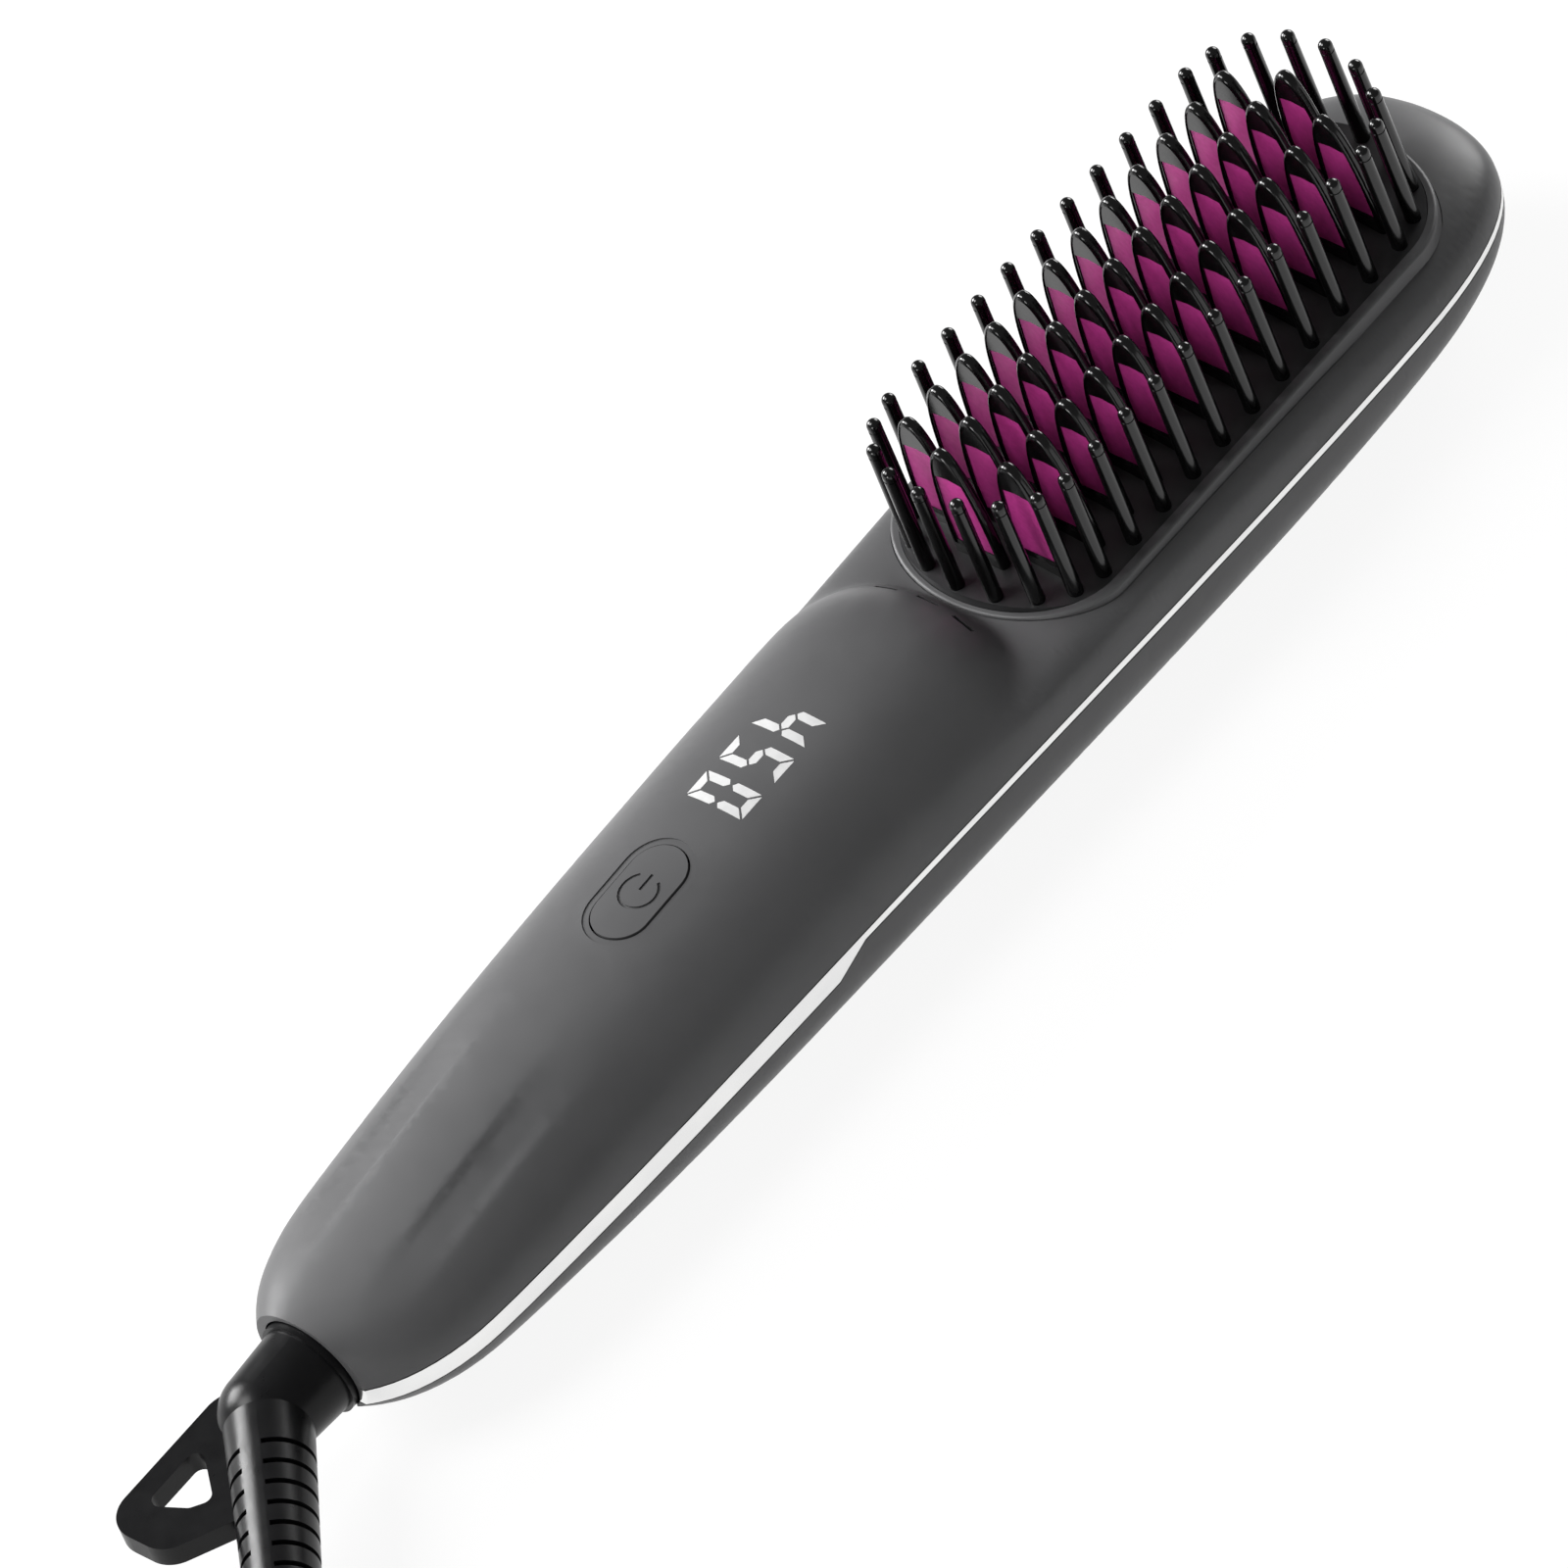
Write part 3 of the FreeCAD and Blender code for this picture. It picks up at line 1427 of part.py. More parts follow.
def loop_slab():
    """The hanging loop: a flat three-sided eye between the elbow's two legs."""
    low, high = SEAM - size("loop_thickness") / 2, SEAM + size("loop_thickness") / 2
    top_y, end_x = size("loop_top_y"), size("loop_end_x")
    outline = [
        Vector(VERTEX.x + 4, top_y, 0),
        Vector(end_x, top_y, 0),
        Vector(end_x, -0.55 * top_y, 0),
        Vector(size("loop_low_x"), size("loop_low_y"), 0),
        Vector(VERTEX.x, -2, 0),
    ]
    slab = plan_slab(rounded_polygon(outline, size("loop_corner_radius")), low, high)
    rim = size("loop_rim")
    eye = [
        Vector(end_x + 1.23 * rim, top_y - 0.82 * rim, 0),
        Vector(end_x + 1.88 * rim, -0.3 * top_y, 0),
        Vector(end_x + 2.53 * rim, -0.6 * top_y, 0),
        Vector(VERTEX.x - size("loop_eye_setback"), top_y - 0.82 * rim, 0),
    ]
    return slab.cut(plan_slab(rounded_polygon(eye, size("loop_hole_corner")), low - 1, high + 1))


def ribbed_leg():
    """The tapered leg along +X from the bend, slotted on two sides so that it can flex."""
    top, end, length = size("leg_top_radius"), size("leg_end_radius"), size("leg_length")
    leg = Part.makeCone(top, end, length, Vector(0, 0, 0), Vector(1, 0, 0))
    tip = [e for e in leg.Edges if e.BoundBox.XMin > length - 1e-6 and e.Closed]
    leg = leg.makeFillet(size("leg_end_round"), tip)
    half_web = size("rib_web") / 2
    for k in range(int(size("rib_count"))):
        start = size("rib_first") + size("rib_pitch") * k
        radius = top + (end - top) * start / length
        place, way = Vector(start, 0, 0), Vector(1, 0, 0)
        slot = Part.makeCylinder(top + 1, size("rib_slot_width"), place, way)
        slot = slot.cut(
            Part.makeCylinder(radius - size("rib_slot_depth"), size("rib_slot_width"), place, way)
        )
        web = box((start - 1, start + 3), (-half_web, half_web), (-2 * top, 2 * top))
        web.rotate(Vector(0, 0, 0), Vector(1, 0, 0), size("web_lean_degrees"))
        leg = leg.cut(slot.cut(web))
    return leg


def make_elbow():
    start = size("hub_flange_x")
    upper = Part.makeCone(
        size("knee_radius"), size("elbow_radius"), start - VERTEX.x, VERTEX, Vector(1, 0, 0)
    )
    ring_end = -LENGTH + size("elbow_ring_sink")
    ring = collar_axis(size("elbow_ring_radius"), ring_end - size("elbow_ring_width"), ring_end)
    knee = Part.makeSphere(size("knee_radius"), VERTEX)
    leg = ribbed_leg()
    leg.Placement = Placement(VERTEX, Rotation(Vector(1, 0, 0), LEG_WAY))
    elbow = upper.fuse([ring, knee, leg, loop_slab()]).removeSplitter()
    stem = size("hub_stem_radius") + size("tooth_clearance")
    socket = collar_axis(stem, start - size("hub_stem_length") - size("tooth_clearance"), start + 1)
    keep_shape("cord_elbow", elbow.cut(socket))


CORD_RADIUS = size("cord_diameter") / 2
COIL = Vector(size("coil_x"), size("coil_y"), 0)
COIL_BASE = size("coil_base_height")
COIL_TOP = COIL_BASE + size("coil_layer_step")


def coil_place(radius, degrees, height):
    turn = math.radians(degrees)
    return COIL + Vector(radius * math.cos(turn), radius * math.sin(turn), height)


def coil_outer_radius():
    return size("coil_inner_radius") + size("coil_pitch") * size("coil_turns_in")


def coil_way(degrees):
    """The way a clockwise turn goes at an angle."""
    turn = math.radians(degrees)
    return Vector(math.sin(turn), -math.cos(turn), 0)


def coil_stations():
    """Quarter turns of the coil: in along the floor, up while it reverses, and out on top."""
    inner, pitch = size("coil_inner_radius"), size("coil_pitch")
    first, turns_in = size("coil_start_degrees"), size("coil_turns_in")
    quarters_in = int(round(4 * turns_in))
    stations = []
    for k in range(quarters_in + 1):
        stations.append((inner + pitch * (turns_in - k / 4), first - 90 * k, COIL_BASE))
    reverse = first - 90 * quarters_in
    for k, radius in ((1, inner - pitch / 4), (2, inner)):
        stations.append((radius, reverse - 90 * k, COIL_BASE + (COIL_TOP - COIL_BASE) * smooth(k / 2)))
    start = reverse - 180
    left = (start - size("coil_end_degrees")) % 360
    turns_out = math.floor(turns_in) - 1 + left / 360
    if turns_out < turns_in - 0.6:
        turns_out += 1
    quarters_out = max(1, int(round(4 * turns_out)))
    for k in range(1, quarters_out + 1):
        turn = turns_out * k / quarters_out
        stations.append((inner + pitch * turn, start - 360 * turn, COIL_TOP))
    return stations


def coil_edges():
    """Two arcs for each quarter turn, tangent to each other and to the turn at its ends."""
    stations = coil_stations()
    points = [coil_place(*s) for s in stations]
    ways = []
    for i, (radius, degrees, height) in enumerate(stations):
        way = coil_way(degrees)
        low, high = max(0, i - 1), min(len(stations) - 1, i + 1)
        arc = math.radians(stations[low][1] - stations[high][1]) * radius
        outward = coil_place(1, degrees, 0) - COIL
        ends = i in (0, len(stations) - 1)
        drift = 0.0 if ends else (stations[high][0] - stations[low][0]) / arc
        climb = 0.0 if ends else (stations[high][2] - stations[low][2]) / arc
        ways.append((way + outward * drift + Vector(0, 0, climb)).normalize())
    straight = size("cord_diameter")
    edges = [Part.LineSegment(points[0] - ways[0] * straight, points[0]).toShape()]
    for a, b, way_a, way_b in zip(points, points[1:], ways, ways[1:]):
        edges += biarc(a, b, way_a, way_b)
    return edges + rounded_route(tail_route())


def tail_route():
    """The cord's end: most of a smaller turn laid back over the coil, up to the plug that lies on it."""
    radius, degrees, height = coil_stations()[-1]
    here = coil_place(radius, degrees, height)
    rest = height + CORD_RADIUS + 2 * size("tie_gap")
    plug_axis = rest + size("plug_height") / 2
    corners = int(size("tail_corners"))
    points = [here]
    for k in range(corners + 1):
        here = here + coil_way(degrees - size("tail_turn_degrees") * k) * size("tail_run")
        rise = smooth(min(1.0, k / (corners - 2)))
        points.append(Vector(here.x, here.y, height + (plug_axis - height) * rise))
    return points


def biarc(a, b, way_a, way_b):
    """Two tangent arcs from a to b that leave along way_a and arrive along way_b."""
    chord = b - a
    both = way_a + way_b
    curve = 2 * (1 - way_a.dot(way_b))
    slant = chord.dot(both)
    reach = (math.sqrt(slant**2 + curve * chord.dot(chord)) - slant) / curve
    near, far = a + way_a * reach, b - way_b * reach
    join = (near + far) / 2
    return [tangent_arc(a, way_a, join), tangent_arc(join, (far - near).normalize(), b)]


def tangent_arc(start, way, end):
    """The arc from start to end that leaves along a way."""
    chord = end - start
    side = chord - way * chord.dot(way)
    radius = chord.dot(chord) / (2 * side.Length)
    centre = start + side.normalize() * radius
    middle = centre + ((start + end) / 2 - centre).normalize() * radius
    return Part.Arc(start, middle, end).toShape()


def tube(edges, start, way):
    """A round cord swept along straight runs and tangent arcs, checked by its volume."""
    path = Part.Wire(edges)
    ring = Part.Wire(Part.Circle(start, way, CORD_RADIUS).toShape())
    solid = path.makePipeShell([ring], True, False)
    expected = math.pi * CORD_RADIUS**2 * path.Length
    print(f"cord length {path.Length:.1f}, volume {solid.Volume:.0f} for {expected:.0f}")
    return solid


def lead_route():
    """From the ribbed leg's end, down to the floor in a gentle turn, to the coil."""
    start = VERTEX + LEG_WAY * size("leg_length")
    first = size("coil_start_degrees")
    way = coil_way(first)
    end = coil_place(coil_outer_radius(), first, COIL_BASE) - way * size("cord_diameter")
    second = start + LEG_WAY * size("lead_first_run")
    fourth = end - way * size("lead_last_run")
    third = (second + fourth) / 2 + Vector(0, -size("lead_bow"), size("lead_lift"))
    return [start, second, third, fourth, end]


def rounded_route(points):
    """Straight runs joined by tangent arcs as large as the runs allow."""
    edges, here = [], points[0]
    for before, corner, after in zip(points, points[1:], points[2:]):
        into, out = (corner - before), (after - corner)
        half = into.getAngle(out) / 2
        reach = 0.45 * min(into.Length, out.Length)
        print(f"cord radius {reach / math.tan(half):.1f} over runs {into.Length:.1f}, {out.Length:.1f}")
        start = corner - into.normalize() * reach
        end = corner + out.normalize() * reach
        edges.append(Part.LineSegment(here, start).toShape())
        edges.append(tangent_arc(start, into, end))
        here = end
    edges.append(Part.LineSegment(here, points[-1]).toShape())
    return edges


def least_gap(edges):
    """The coil's least gap to itself, on points along it more than half a turn apart."""
    points = []
    for edge in edges:
        points += edge.discretize(Number=9)[1:]
    apart = int(len(points) / len(coil_stations()) * 2.4)
    least = min(
        (points[i] - points[j]).Length for i in range(len(points)) for j in range(i + apart, len(points))
    )
    return least - size("cord_diameter")


def make_lead():
    route = lead_route()
    keep_shape("cord_lead", tube(rounded_route(route), route[0], LEG_WAY))
    edges = coil_edges()
    first = edges[0].Vertexes[0].Point
    keep_shape("cord_coil", tube(edges, first, coil_way(size("coil_start_degrees"))))
    print(f"coil's least gap to itself {least_gap(edges):.2f}")

    turn = size("tie_degrees")
    inner = size("coil_inner_radius") - CORD_RADIUS - 2 * size("tie_gap") - size("coil_pitch") / 2
    outer = coil_outer_radius() + CORD_RADIUS + size("coil_pitch") / 2
    gap, thick, wide = size("tie_gap"), size("tie_thickness"), size("tie_width") / 2
    low, high = COIL_BASE - CORD_RADIUS - gap, COIL_TOP + CORD_RADIUS + gap
    band = box((inner - thick, outer + thick), (-wide, wide), (low - thick, high + thick))
    band = band.cut(box((inner, outer), (-2 * wide, 2 * wide), (low, high)))
    band.Placement = Placement(COIL, Rotation(Vector(0, 0, 1), turn))
    keep_shape("cord_tie", band)
    make_plug()


def make_plug():
    """A moulded two-blade plug lying on the coil, its tail in line with the cord's end."""
    before, start = tail_route()[-2:]
    way = (start - before).normalize()
    tail, length = size("plug_tail_length"), size("plug_length")
    half, tall = size("plug_width") / 2, size("plug_height") / 2
    mouth = CORD_RADIUS + size("plug_tail_wall")
    cone = Part.makeCone(mouth, size("plug_tail_radius"), tail, Vector(0, 0, 0), Vector(1, 0, 0))
    block = box((tail, tail + length), (-half, half), (-tall, tall))
    corner = size("plug_corner_radius")
    along = [e for e in block.Edges if e.BoundBox.XLength > length - 1e-6]
    block = block.makeFillet(corner, along)
    rear = [e for e in block.Edges if e.BoundBox.XMax < tail + 1e-6]
    block = block.makeFillet(0.6 * corner, rear)
    blades = []
    for side in (-1, 1):
        y = side * size("blade_spacing") / 2
        thick, wide = size("blade_thickness") / 2, size("blade_width") / 2
        reach = (tail + length, tail + length + size("blade_length"))
        blades.append(box(reach, (y - thick, y + thick), (-wide, wide)))
    place = Placement(start, Rotation(Vector(1, 0, 0), way))
    for label, shape in (("plug_body", cone.fuse(block).removeSplitter()), ("plug_blades", group(blades))):
        shape.Placement = place
        keep_shape(label, shape)


make_front_shell()
make_back_and_trim()
make_bezel()
make_bristles()
make_heater()
make_electronics()
make_button()
make_swivel()
make_elbow()
make_lead()
doc.recompute()

for item in doc.Objects:
    if "Invalid" in item.State or "Error" in item.State:
        raise RuntimeError(f"{item.Label} failed: {item.State}")
for item in nodes:
    if item.Shape.isNull() or not item.Shape.isValid():
        raise RuntimeError(f"{item.Label} has no valid shape")

os.makedirs("parts", exist_ok=True)
for item in nodes:
    item.Shape.exportStep(f"parts/{item.Label}.step")
    print(item.Label, len(item.Shape.Solids), round(item.Shape.Volume, 1))
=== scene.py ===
import json
import math

import bpy
from mathutils import Matrix, Vector


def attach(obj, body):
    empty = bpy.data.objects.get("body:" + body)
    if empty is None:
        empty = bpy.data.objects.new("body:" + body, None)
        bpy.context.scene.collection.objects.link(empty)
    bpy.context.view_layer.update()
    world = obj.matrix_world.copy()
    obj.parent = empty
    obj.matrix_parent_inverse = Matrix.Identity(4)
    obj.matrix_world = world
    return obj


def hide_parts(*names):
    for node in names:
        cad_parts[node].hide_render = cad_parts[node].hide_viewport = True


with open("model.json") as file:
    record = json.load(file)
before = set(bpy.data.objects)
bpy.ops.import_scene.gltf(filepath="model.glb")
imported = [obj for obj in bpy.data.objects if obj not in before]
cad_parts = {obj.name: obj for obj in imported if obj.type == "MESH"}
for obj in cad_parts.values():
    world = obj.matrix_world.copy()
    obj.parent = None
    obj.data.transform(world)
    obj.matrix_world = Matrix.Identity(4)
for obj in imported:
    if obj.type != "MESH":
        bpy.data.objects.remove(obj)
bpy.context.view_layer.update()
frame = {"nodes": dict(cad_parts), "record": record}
nodes = frame["nodes"]
MM = 0.001


# Colours and shader nodes

GRAIN_DETAIL, GRAIN_ROUGHNESS = 2.0, 0.55
DRIFT_DETAIL = 3.0
# A noise stays mostly between these levels, so the drift uses all of its range.
DRIFT_ENDS = (0.3, 0.7)
# Rolling lines run 20 times as long as they are wide.
LINE_STRETCH = (0.05, 1.0, 1.0)


def colour(code):
    """Linear colour of an sRGB hex value."""
    parts = [int(code[i:i + 2], 16) / 255 for i in (1, 3, 5)]
    return [c / 12.92 if c <= 0.04045 else ((c + 0.055) / 1.055) ** 2.4 for c in parts] + [1.0]


def add(tree, kind, values, links, **settings):
    """A shader node with its settings, its fixed inputs and its linked inputs."""
    made = tree.nodes.new(kind)
    for name, setting in settings.items():
        setattr(made, name, setting)
    for socket, value in values.items():
        made.inputs[socket].default_value = value
    for socket, source in links.items():
        tree.links.new(source, made.inputs[socket])
    return made


def surface(name, **values):
    """A named material with one principled shader, whose fixed values are set on its own sockets."""
    material = bpy.data.materials.new(name)
    material.use_nodes = True
    tree = material.node_tree
    tree.nodes.clear()
    sockets = {key.replace("_", " "): value for key, value in values.items()}
    shader = add(tree, "ShaderNodeBsdfPrincipled", sockets, {})
    add(tree, "ShaderNodeOutputMaterial", {}, {"Surface": shader.outputs["BSDF"]})
    place = add(tree, "ShaderNodeTexCoord", {}, {}).outputs["Object"]
    return material, tree, shader, place


def grain(tree, shader, place, size_mm, lift_mm):
    """A fine moulded grain, as bump of a real size and height."""
    noise = add(
        tree,
        "ShaderNodeTexNoise",
        {"Scale": 1 / (size_mm * MM), "Detail": GRAIN_DETAIL, "Roughness": GRAIN_ROUGHNESS},
        {"Vector": place},
    )
    bump = add(
        tree,
        "ShaderNodeBump",
        {"Strength": 1.0, "Distance": lift_mm * MM},
        {"Height": noise.outputs["Fac"]},
    )
    tree.links.new(bump.outputs["Normal"], shader.inputs["Normal"])


def mottled(tree, shader, place, socket, size_mm, low, high):
    """A slow drift of one input between two values."""
    noise = add(
        tree,
        "ShaderNodeTexNoise",
        {"Scale": 1 / (size_mm * MM), "Detail": DRIFT_DETAIL},
        {"Vector": place},
    )
    ramp = add(tree, "ShaderNodeValToRGB", {}, {"Fac": noise.outputs["Fac"]})
    for stop, position, value in zip(ramp.color_ramp.elements, DRIFT_ENDS, (low, high)):
        stop.position = position
        stop.color = value
    tree.links.new(ramp.outputs["Color"], shader.inputs[socket])


def grey(level):
    """A ramp's colour that stands for one number."""
    return (level, level, level, 1.0)


def soft_touch_abs():
    """ABS sprayed with soft-touch lacquer: a satin dark grey with broad, dim highlights."""
    material, tree, shader, place = surface("abs_soft_touch_lacquer", IOR=1.48, Specular_IOR_Level=0.32)
    mottled(tree, shader, place, "Base Color", 22, colour("#4f4f50"), colour("#545455"))
    mottled(tree, shader, place, "Roughness", 9, grey(0.38), grey(0.43))
    # The lacquer's grit is about 0.05 mm, drawn at 0.35 mm so that it shows.
    grain(tree, shader, place, 0.35, 0.004)
    return material


def chrome_plate():
    """Chromed ABS: a bright mirror that follows the room, with the moulding's slight waviness."""
    material, tree, shader, place = surface("abs_chrome_plated", Metallic=1.0)
    mottled(tree, shader, place, "Base Color", 14, colour("#e8e8e8"), colour("#f1f1f0"))
    mottled(tree, shader, place, "Roughness", 6, grey(0.1), grey(0.16))
    # The waviness of a long thin moulding, a few millimetres from crest to crest.
    grain(tree, shader, place, 5.0, 0.01)
    return material


def gloss_nylon():
    """Heat-proof nylon moulded in a polished tool: deep black with narrow bright highlights."""
    material, tree, shader, place = surface("nylon_gloss_moulded", IOR=1.5, Specular_IOR_Level=0.5)
    mottled(tree, shader, place, "Base Color", 8, colour("#060606"), colour("#0a0a0b"))
    mottled(tree, shader, place, "Roughness", 4, grey(0.14), grey(0.2))
    # The polish leaves a slight ripple, no grit.
    grain(tree, shader, place, 1.6, 0.003)
    return material


def satin_nylon():
    """The same nylon from a lightly blasted tool: dark, with soft reflections of the bristles."""
    material, tree, shader, place = surface("nylon_satin_moulded", IOR=1.5, Specular_IOR_Level=0.3)
    mottled(tree, shader, place, "Base Color", 8, colour("#29292a"), colour("#303031"))
    mottled(tree, shader, place, "Roughness", 4, grey(0.3), grey(0.38))
    # The blasting is about 0.1 mm, drawn at 0.5 mm so that it shows.
    grain(tree, shader, place, 0.5, 0.004)
    return material


def ceramic_coated_aluminium():
    """Die-cast aluminium under a magenta ceramic coating: satin, with a fine speckle."""
    material, tree, shader, place = surface("aluminium_ceramic_coated", IOR=1.6, Specular_IOR_Level=0.15)
    mottled(tree, shader, place, "Base Color", 0.9, colour("#a6327b"), colour("#b53a88"))
    mottled(tree, shader, place, "Roughness", 1.5, grey(0.34), grey(0.42))
    # The sprayed speckle is about 0.2 mm, drawn at 0.5 mm so that it shows.
    grain(tree, shader, place, 0.5, 0.006)
    return material


def moulded_pvc():
    """PVC moulded over the lead: satin black that drifts a little from place to place."""
    material, tree, shader, place = surface("pvc_satin_moulded", IOR=1.5, Specular_IOR_Level=0.18)
    mottled(tree, shader, place, "Base Color", 7, colour("#0e0e0f"), colour("#151516"))
    mottled(tree, shader, place, "Roughness", 3, grey(0.27), grey(0.34))
    # The mould's grain is about 0.1 mm, drawn at 0.6 mm so that it shows.
    grain(tree, shader, place, 0.6, 0.01)
    return material


def satin_polypropylene(name, dark, light):
    """Polypropylene from a spark-eroded tool: even satin with a fine grain."""
    material, tree, shader, place = surface(name, IOR=1.49)
    mottled(tree, shader, place, "Base Color", 5, colour(dark), colour(light))
    mottled(tree, shader, place, "Roughness", 3, grey(0.45), grey(0.58))
    # The eroded grain is about 0.1 mm, drawn at 0.5 mm so that it shows.
    grain(tree, shader, place, 0.5, 0.012)
    return material


def lit_diffuser():
    """Milky polycarbonate over lamps: evenly bright, almost without highlights."""
    material, tree, shader, place = surface("polycarbonate_lit_diffuser", IOR=1.58)
    mottled(tree, shader, place, "Base Color", 1.5, colour("#c6c6c6"), colour("#cecece"))
    mottled(tree, shader, place, "Roughness", 1.5, grey(0.35), grey(0.45))
    return material


def rolled_metal(name, dark, light, low, high, line_mm):
    """Rolled sheet or drawn wire: metal with fine lines along its length."""
    material, tree, shader, place = surface(name, Metallic=1.0)
    stretch = add(
        tree, "ShaderNodeMapping", {"Scale": LINE_STRETCH}, {"Vector": place}
    ).outputs["Vector"]
    mottled(tree, shader, stretch, "Base Color", line_mm, colour(dark), colour(light))
    mottled(tree, shader, stretch, "Roughness", line_mm, grey(low), grey(high))
    grain(tree, shader, stretch, line_mm, 0.004)
    return material


def fired_alumina():
    """Fired alumina: chalky off-white with a dry surface."""
    material, tree, shader, place = surface("alumina_fired", IOR=1.76)
    mottled(tree, shader, place, "Base Color", 1.2, colour("#dcd9d0"), colour("#e8e5dd"))
    mottled(tree, shader, place, "Roughness", 1.2, grey(0.7), grey(0.85))
    # The fired grain is about 0.02 mm, drawn at 0.4 mm so that it shows.
    grain(tree, shader, place, 0.4, 0.015)
    return material


def solder_mask():
    """Glass-epoxy board under green solder mask, with the weave just showing."""
    material, tree, shader, place = surface("glass_epoxy_solder_mask", IOR=1.55)
    mottled(tree, shader, place, "Base Color", 0.8, colour("#1f5b36"), colour("#286b41"))
    mottled(tree, shader, place, "Roughness", 0.8, grey(0.3), grey(0.42))
    grain(tree, shader, place, 0.8, 0.01)
    return material


FINISHES = {
    "soft_touch": soft_touch_abs(),
    "chrome": chrome_plate(),
    "gloss_black": gloss_nylon(),
    "magenta_coat": ceramic_coated_aluminium(),
    "ceramic": fired_alumina(),
    "sheet_steel": rolled_metal("steel_rolled_sheet", "#b4b5b7", "#c6c7c9", 0.28, 0.4, 0.4),
    "black_plastic": satin_polypropylene("polypropylene_eroded_black", "#222223", "#2a2a2b"),
    "screw_steel": rolled_metal("steel_zinc_plated", "#a4a6aa", "#b8babd", 0.25, 0.38, 0.3),
    "circuit_board": solder_mask(),
    "lit_segment": lit_diffuser(),
    "brass": rolled_metal("brass_polished", "#c9a04a", "#dab763", 0.16, 0.26, 0.5),
    "cord_rubber": moulded_pvc(),
    "tie_plastic": satin_polypropylene("polypropylene_tie_black", "#141415", "#1b1b1c"),
}
for subpart in frame["record"]["subparts"]:
    item = nodes[subpart["node"]]
    item.data.materials.clear()
    item.data.materials.append(FINISHES[subpart["material_slot"]])
# The plate has the bristles' slot, but comes from a duller tool.
nodes["bristle_plate"].data.materials[0] = satin_nylon()


# Camera at the photograph's place

VIEW_FROM = Vector((-1.5313, -2.4112, 2.9266))
VIEW_TO = Vector((-0.0117, 0.0126, 0.0104))
VIEW_UP = Vector((0.6805, 0.3292, 0.6547))
LENS_MM, SENSOR_MM = 620.1, 36.0

back = (VIEW_FROM - VIEW_TO).normalized()
right = VIEW_UP.cross(back).normalized()
up = back.cross(right)
camera = bpy.data.objects.new("camera", bpy.data.cameras.new("camera"))
camera.data.lens = LENS_MM
camera.data.sensor_width = SENSOR_MM
camera.matrix_world = Matrix.LocRotScale(
    VIEW_FROM, Matrix((right, up, back)).transposed().to_quaternion(), None
)
bpy.context.scene.collection.objects.link(camera)
bpy.context.scene.camera = camera


# Cord: the lead from the ribbed boot, then the coil that its unseen length is put away in

CORD_DIAMETER = 6 * MM
ELBOW_CORNER, BOOT_LENGTH = Vector((-147.25, 0, 16)) * MM, 45 * MM
BEND = math.radians(45.2)
BOOT_WAY = Vector((-math.cos(BEND), -math.sin(BEND), 0))
BOOT_END = ELBOW_CORNER + BOOT_WAY * BOOT_LENGTH
LEAD_OUT, LEAD_IN = 13 * MM, 14 * MM
LEAD_SWAY = Vector((0, -2.75, 0.75)) * MM
COIL_CENTRE = Vector((-247.4, -14.4, 0)) * MM
COIL_INNER, COIL_PITCH = 25 * MM, 6.5 * MM
COIL_LOW, COIL_HIGH = 3.7 * MM, 10.2 * MM
COIL_START, TURNS_IN, TURNS_UP, TURNS_OUT = -82, 3.0, 0.5, 2.75
COIL_TURNS = TURNS_IN + TURNS_UP + TURNS_OUT
# On its way up the cord goes this much inside the inner turn.
CLIMB_DIP = COIL_PITCH / 4
TAIL_RUN, TAIL_TURN, TAIL_CORNERS = 14 * MM, 25, 7
PLUG_AXIS = 20.4 * MM
POINTS_PER_TURN = 16
# A spline of order 3 runs this much inside control points that stand on a circle.
CUT_IN = math.cos(math.pi / POINTS_PER_TURN)


def eased(low, high, share):
    """A height on the way from low to high, level at both ends."""
    return low + (high - low) * (3 - 2 * share) * share**2


def coil_point(radius, degrees, height):
    """A point of the coil, from its radius, its angle and its height over the floor."""
    turn = math.radians(degrees)
    return COIL_CENTRE + Vector((radius * math.cos(turn), radius * math.sin(turn), height))


def coil_way(degrees):
    """The way that the cord runs there, clockwise seen from above."""
    turn = math.radians(degrees)
    return Vector((math.sin(turn), -math.cos(turn), 0))


def lead_points():
    """Straight out of the boot, down, and level into the coil's outer turn."""
    start_way = coil_way(COIL_START)
    outer = COIL_INNER + COIL_PITCH * TURNS_IN
    end = coil_point(outer, COIL_START, COIL_LOW) - start_way * CORD_DIAMETER
    second = BOOT_END + BOOT_WAY * LEAD_OUT
    fourth = end - start_way * LEAD_IN
    third = (second + fourth) / 2 + LEAD_SWAY
    return [BOOT_END, second, third, fourth, end]


def coil_points():
    """In along the floor, up over half a turn, and out again on top."""
    points = []
    for k in range(1, round(COIL_TURNS * POINTS_PER_TURN)):
        turns = k / POINTS_PER_TURN
        rise = min(1.0, max(0.0, (turns - TURNS_IN) / TURNS_UP))
        radius = COIL_INNER + COIL_PITCH * max(TURNS_IN - turns, turns - TURNS_IN - TURNS_UP, 0)
        radius -= CLIMB_DIP * math.sin(math.pi * rise)
        height = eased(COIL_LOW, COIL_HIGH, rise)
        points.append(coil_point(radius / CUT_IN, COIL_START - 360 * turns, height))
    return points


def tail_points():
    """Most of a smaller turn laid back over the coil, up to the plug that lies on it."""
    degrees = COIL_START - 360 * COIL_TURNS
    here = coil_point(COIL_INNER + COIL_PITCH * TURNS_OUT, degrees, COIL_HIGH)
    points = [here.copy()]
    for k in range(TAIL_CORNERS + 1):
        here += coil_way(degrees - TAIL_TURN * k) * TAIL_RUN
        rise = min(1.0, k / (TAIL_CORNERS - 2))
        here.z = eased(COIL_HIGH, PLUG_AXIS, rise)
        points.append(here.copy())
    return points


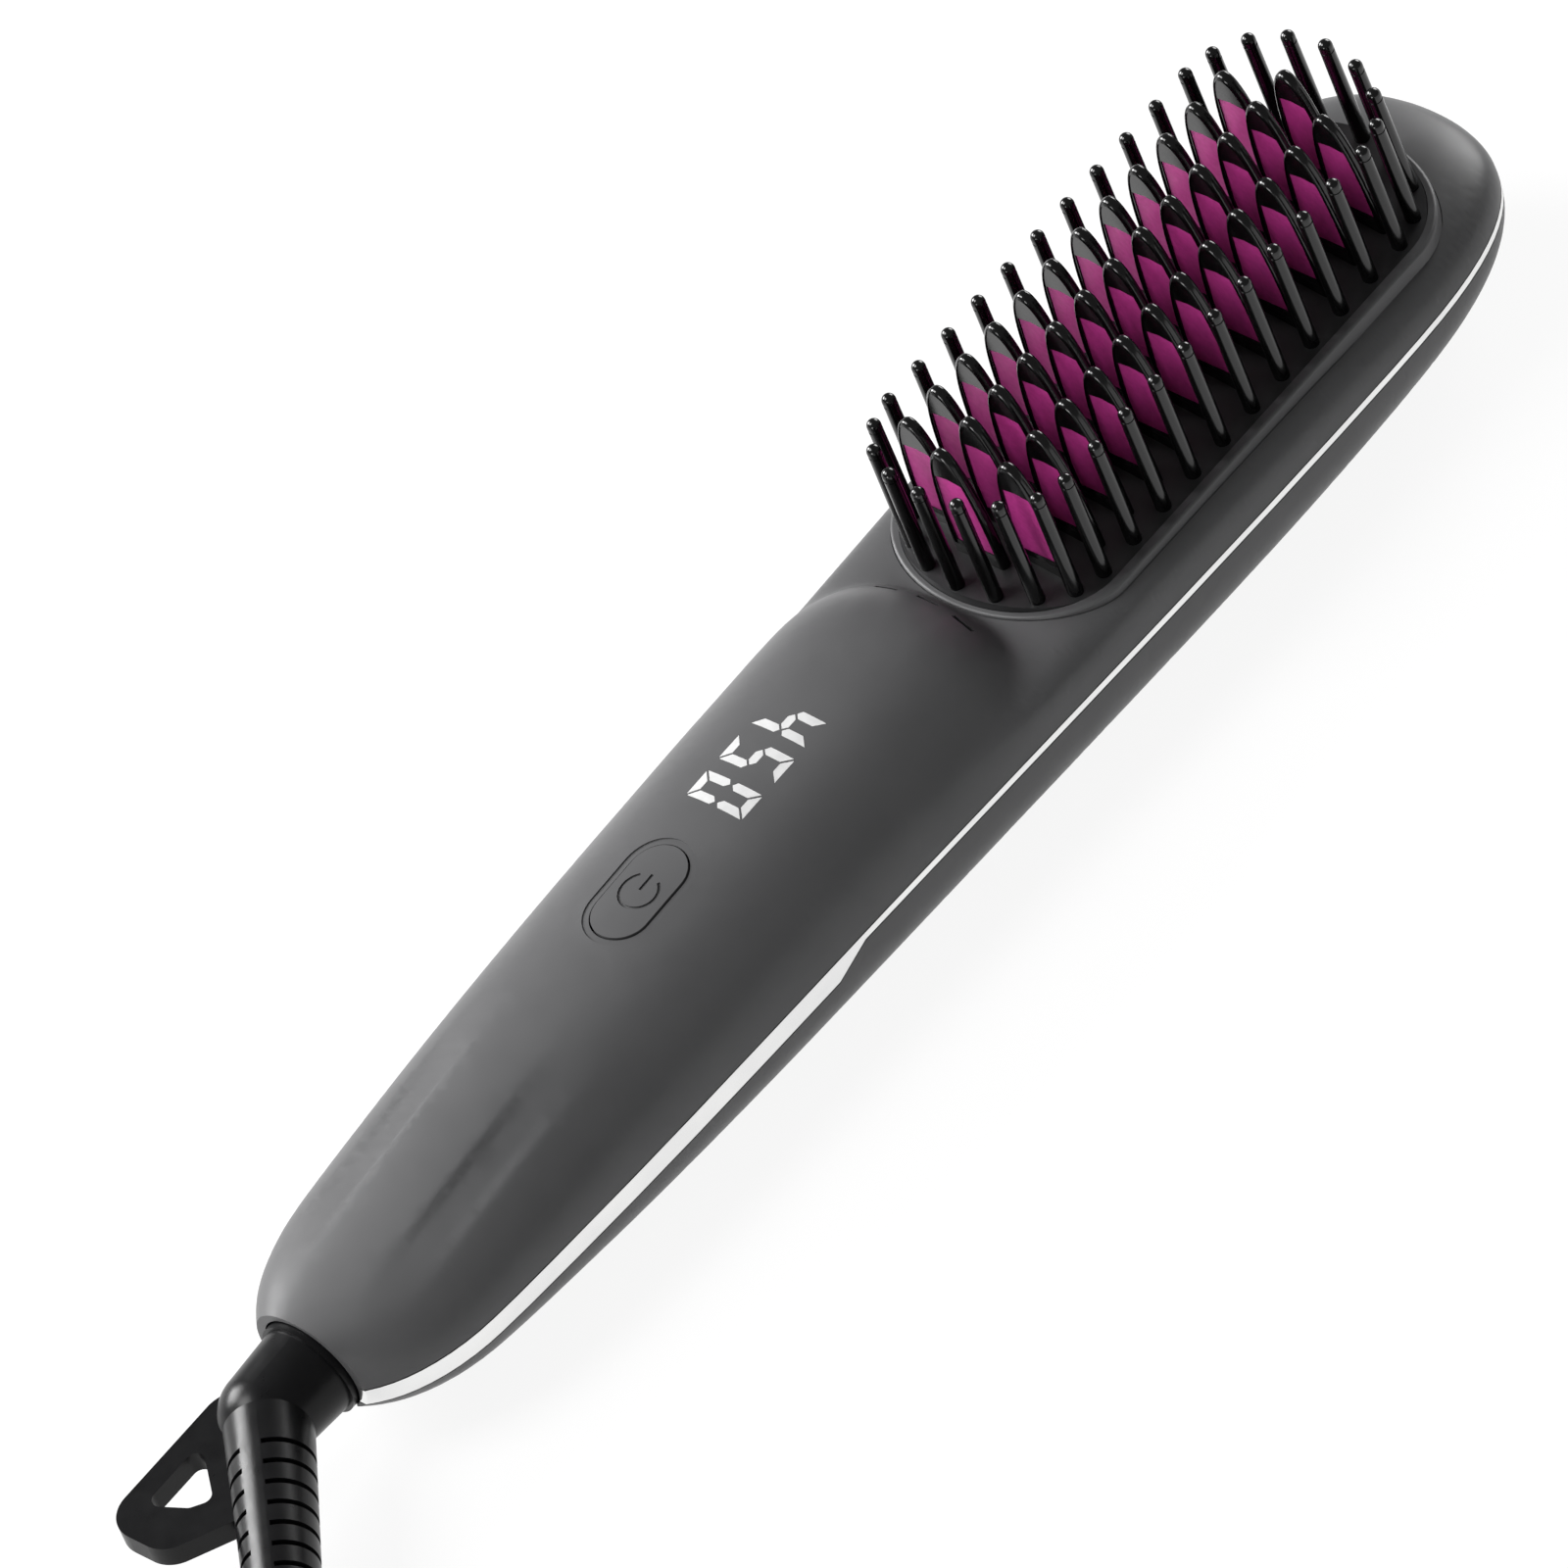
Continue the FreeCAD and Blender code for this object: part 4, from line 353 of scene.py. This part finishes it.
curve = bpy.data.curves.new("mains_cord", "CURVE")
curve.dimensions = "3D"
curve.bevel_depth = CORD_DIAMETER / 2
curve.bevel_resolution = 6
curve.use_fill_caps = True
curve.resolution_u = 8
route = lead_points() + coil_points() + tail_points()
spline = curve.splines.new("NURBS")
spline.points.add(len(route) - 1)
for point, place in zip(spline.points, route):
    point.co = (*place, 1.0)
spline.order_u = 3
spline.use_endpoint_u = True
mains_cord = bpy.data.objects.new("mains_cord", curve)
bpy.context.scene.collection.objects.link(mains_cord)
curve.materials.append(FINISHES["cord_rubber"])
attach(mains_cord, "swivel")
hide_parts("cord_lead", "cord_coil")


# Floor, light and background

def seen_as(tree):
    """1 for what the camera, a reflection or a clear piece sees, 0 for light on the object."""
    path = add(tree, "ShaderNodeLightPath", {}, {}).outputs
    either = add(
        tree,
        "ShaderNodeMath",
        {},
        {0: path["Is Camera Ray"], 1: path["Is Glossy Ray"]},
        operation="MAXIMUM",
    )
    return add(
        tree,
        "ShaderNodeMath",
        {},
        {0: either.outputs[0], 1: path["Is Transmission Ray"]},
        operation="MAXIMUM",
    ).outputs[0]


FLOOR_REACH = 6.0
# The floor lies just clear of the flat that the brush rests on.
FLOOR_DROP = 0.3 * MM
# The seen floor is near white by itself, and its darker half takes the shadow.
FLOOR_GLOW = 0.9
SKY_LEVEL = 0.2

floor_mesh = bpy.data.meshes.new("floor")
corners = [(x * FLOOR_REACH, y * FLOOR_REACH, 0) for x, y in ((-1, -1), (1, -1), (1, 1), (-1, 1))]
floor_mesh.from_pydata(corners, [], [(0, 1, 2, 3)])
floor = bpy.data.objects.new("floor", floor_mesh)
floor.location.z = -FLOOR_DROP
bpy.context.scene.collection.objects.link(floor)
paper = bpy.data.materials.new("paper_floor")
paper.use_nodes = True
tree = paper.node_tree
tree.nodes.clear()
matte = add(tree, "ShaderNodeBsdfDiffuse", {"Color": colour("#f0f0f0")}, {})
shaded = add(tree, "ShaderNodeBsdfDiffuse", {"Color": colour("#606060")}, {})
glow = add(tree, "ShaderNodeEmission", {"Color": colour("#ffffff"), "Strength": FLOOR_GLOW}, {})
lit = add(tree, "ShaderNodeAddShader", {}, {0: shaded.outputs[0], 1: glow.outputs[0]})
both = add(
    tree, "ShaderNodeMixShader", {}, {0: seen_as(tree), 1: matte.outputs[0], 2: lit.outputs[0]}
)
add(tree, "ShaderNodeOutputMaterial", {}, {"Surface": both.outputs[0]})
floor_mesh.materials.append(paper)

world = bpy.data.worlds.new("studio")
world.use_nodes = True
tree = world.node_tree
tree.nodes.clear()
sky = add(tree, "ShaderNodeBackground", {"Color": colour("#ffffff"), "Strength": SKY_LEVEL}, {})
add(tree, "ShaderNodeOutputWorld", {}, {"Surface": sky.outputs[0]})
bpy.context.scene.world = world


def lamp(name, way, distance, width, power):
    """A square soft box that faces the brush from a direction."""
    light = bpy.data.lights.new(name, "AREA")
    light.size = width
    light.energy = power
    holder = bpy.data.objects.new(name, light)
    holder.location = Vector(way).normalized() * distance
    holder.rotation_mode = "QUATERNION"
    holder.rotation_quaternion = Vector(way).to_track_quat("Z", "Y")
    holder.visible_camera = False
    bpy.context.scene.collection.objects.link(holder)


# Each soft box: the way to it, its distance and width in metres, and its watts
lamp("key_softbox", (-0.5, 0.4, 0.8), 1.3, 0.55, 12.5)
lamp("side_softbox", (-0.25, 0.9, 0.45), 1.3, 0.55, 23)
lamp("rim_softbox", (0.9, 0.25, 0.3), 1.3, 0.6, 10)
lamp("fill_softbox", (-0.95, -0.3, 0.14), 1.5, 0.5, 6)

bpy.context.scene.view_settings.view_transform = "Standard"
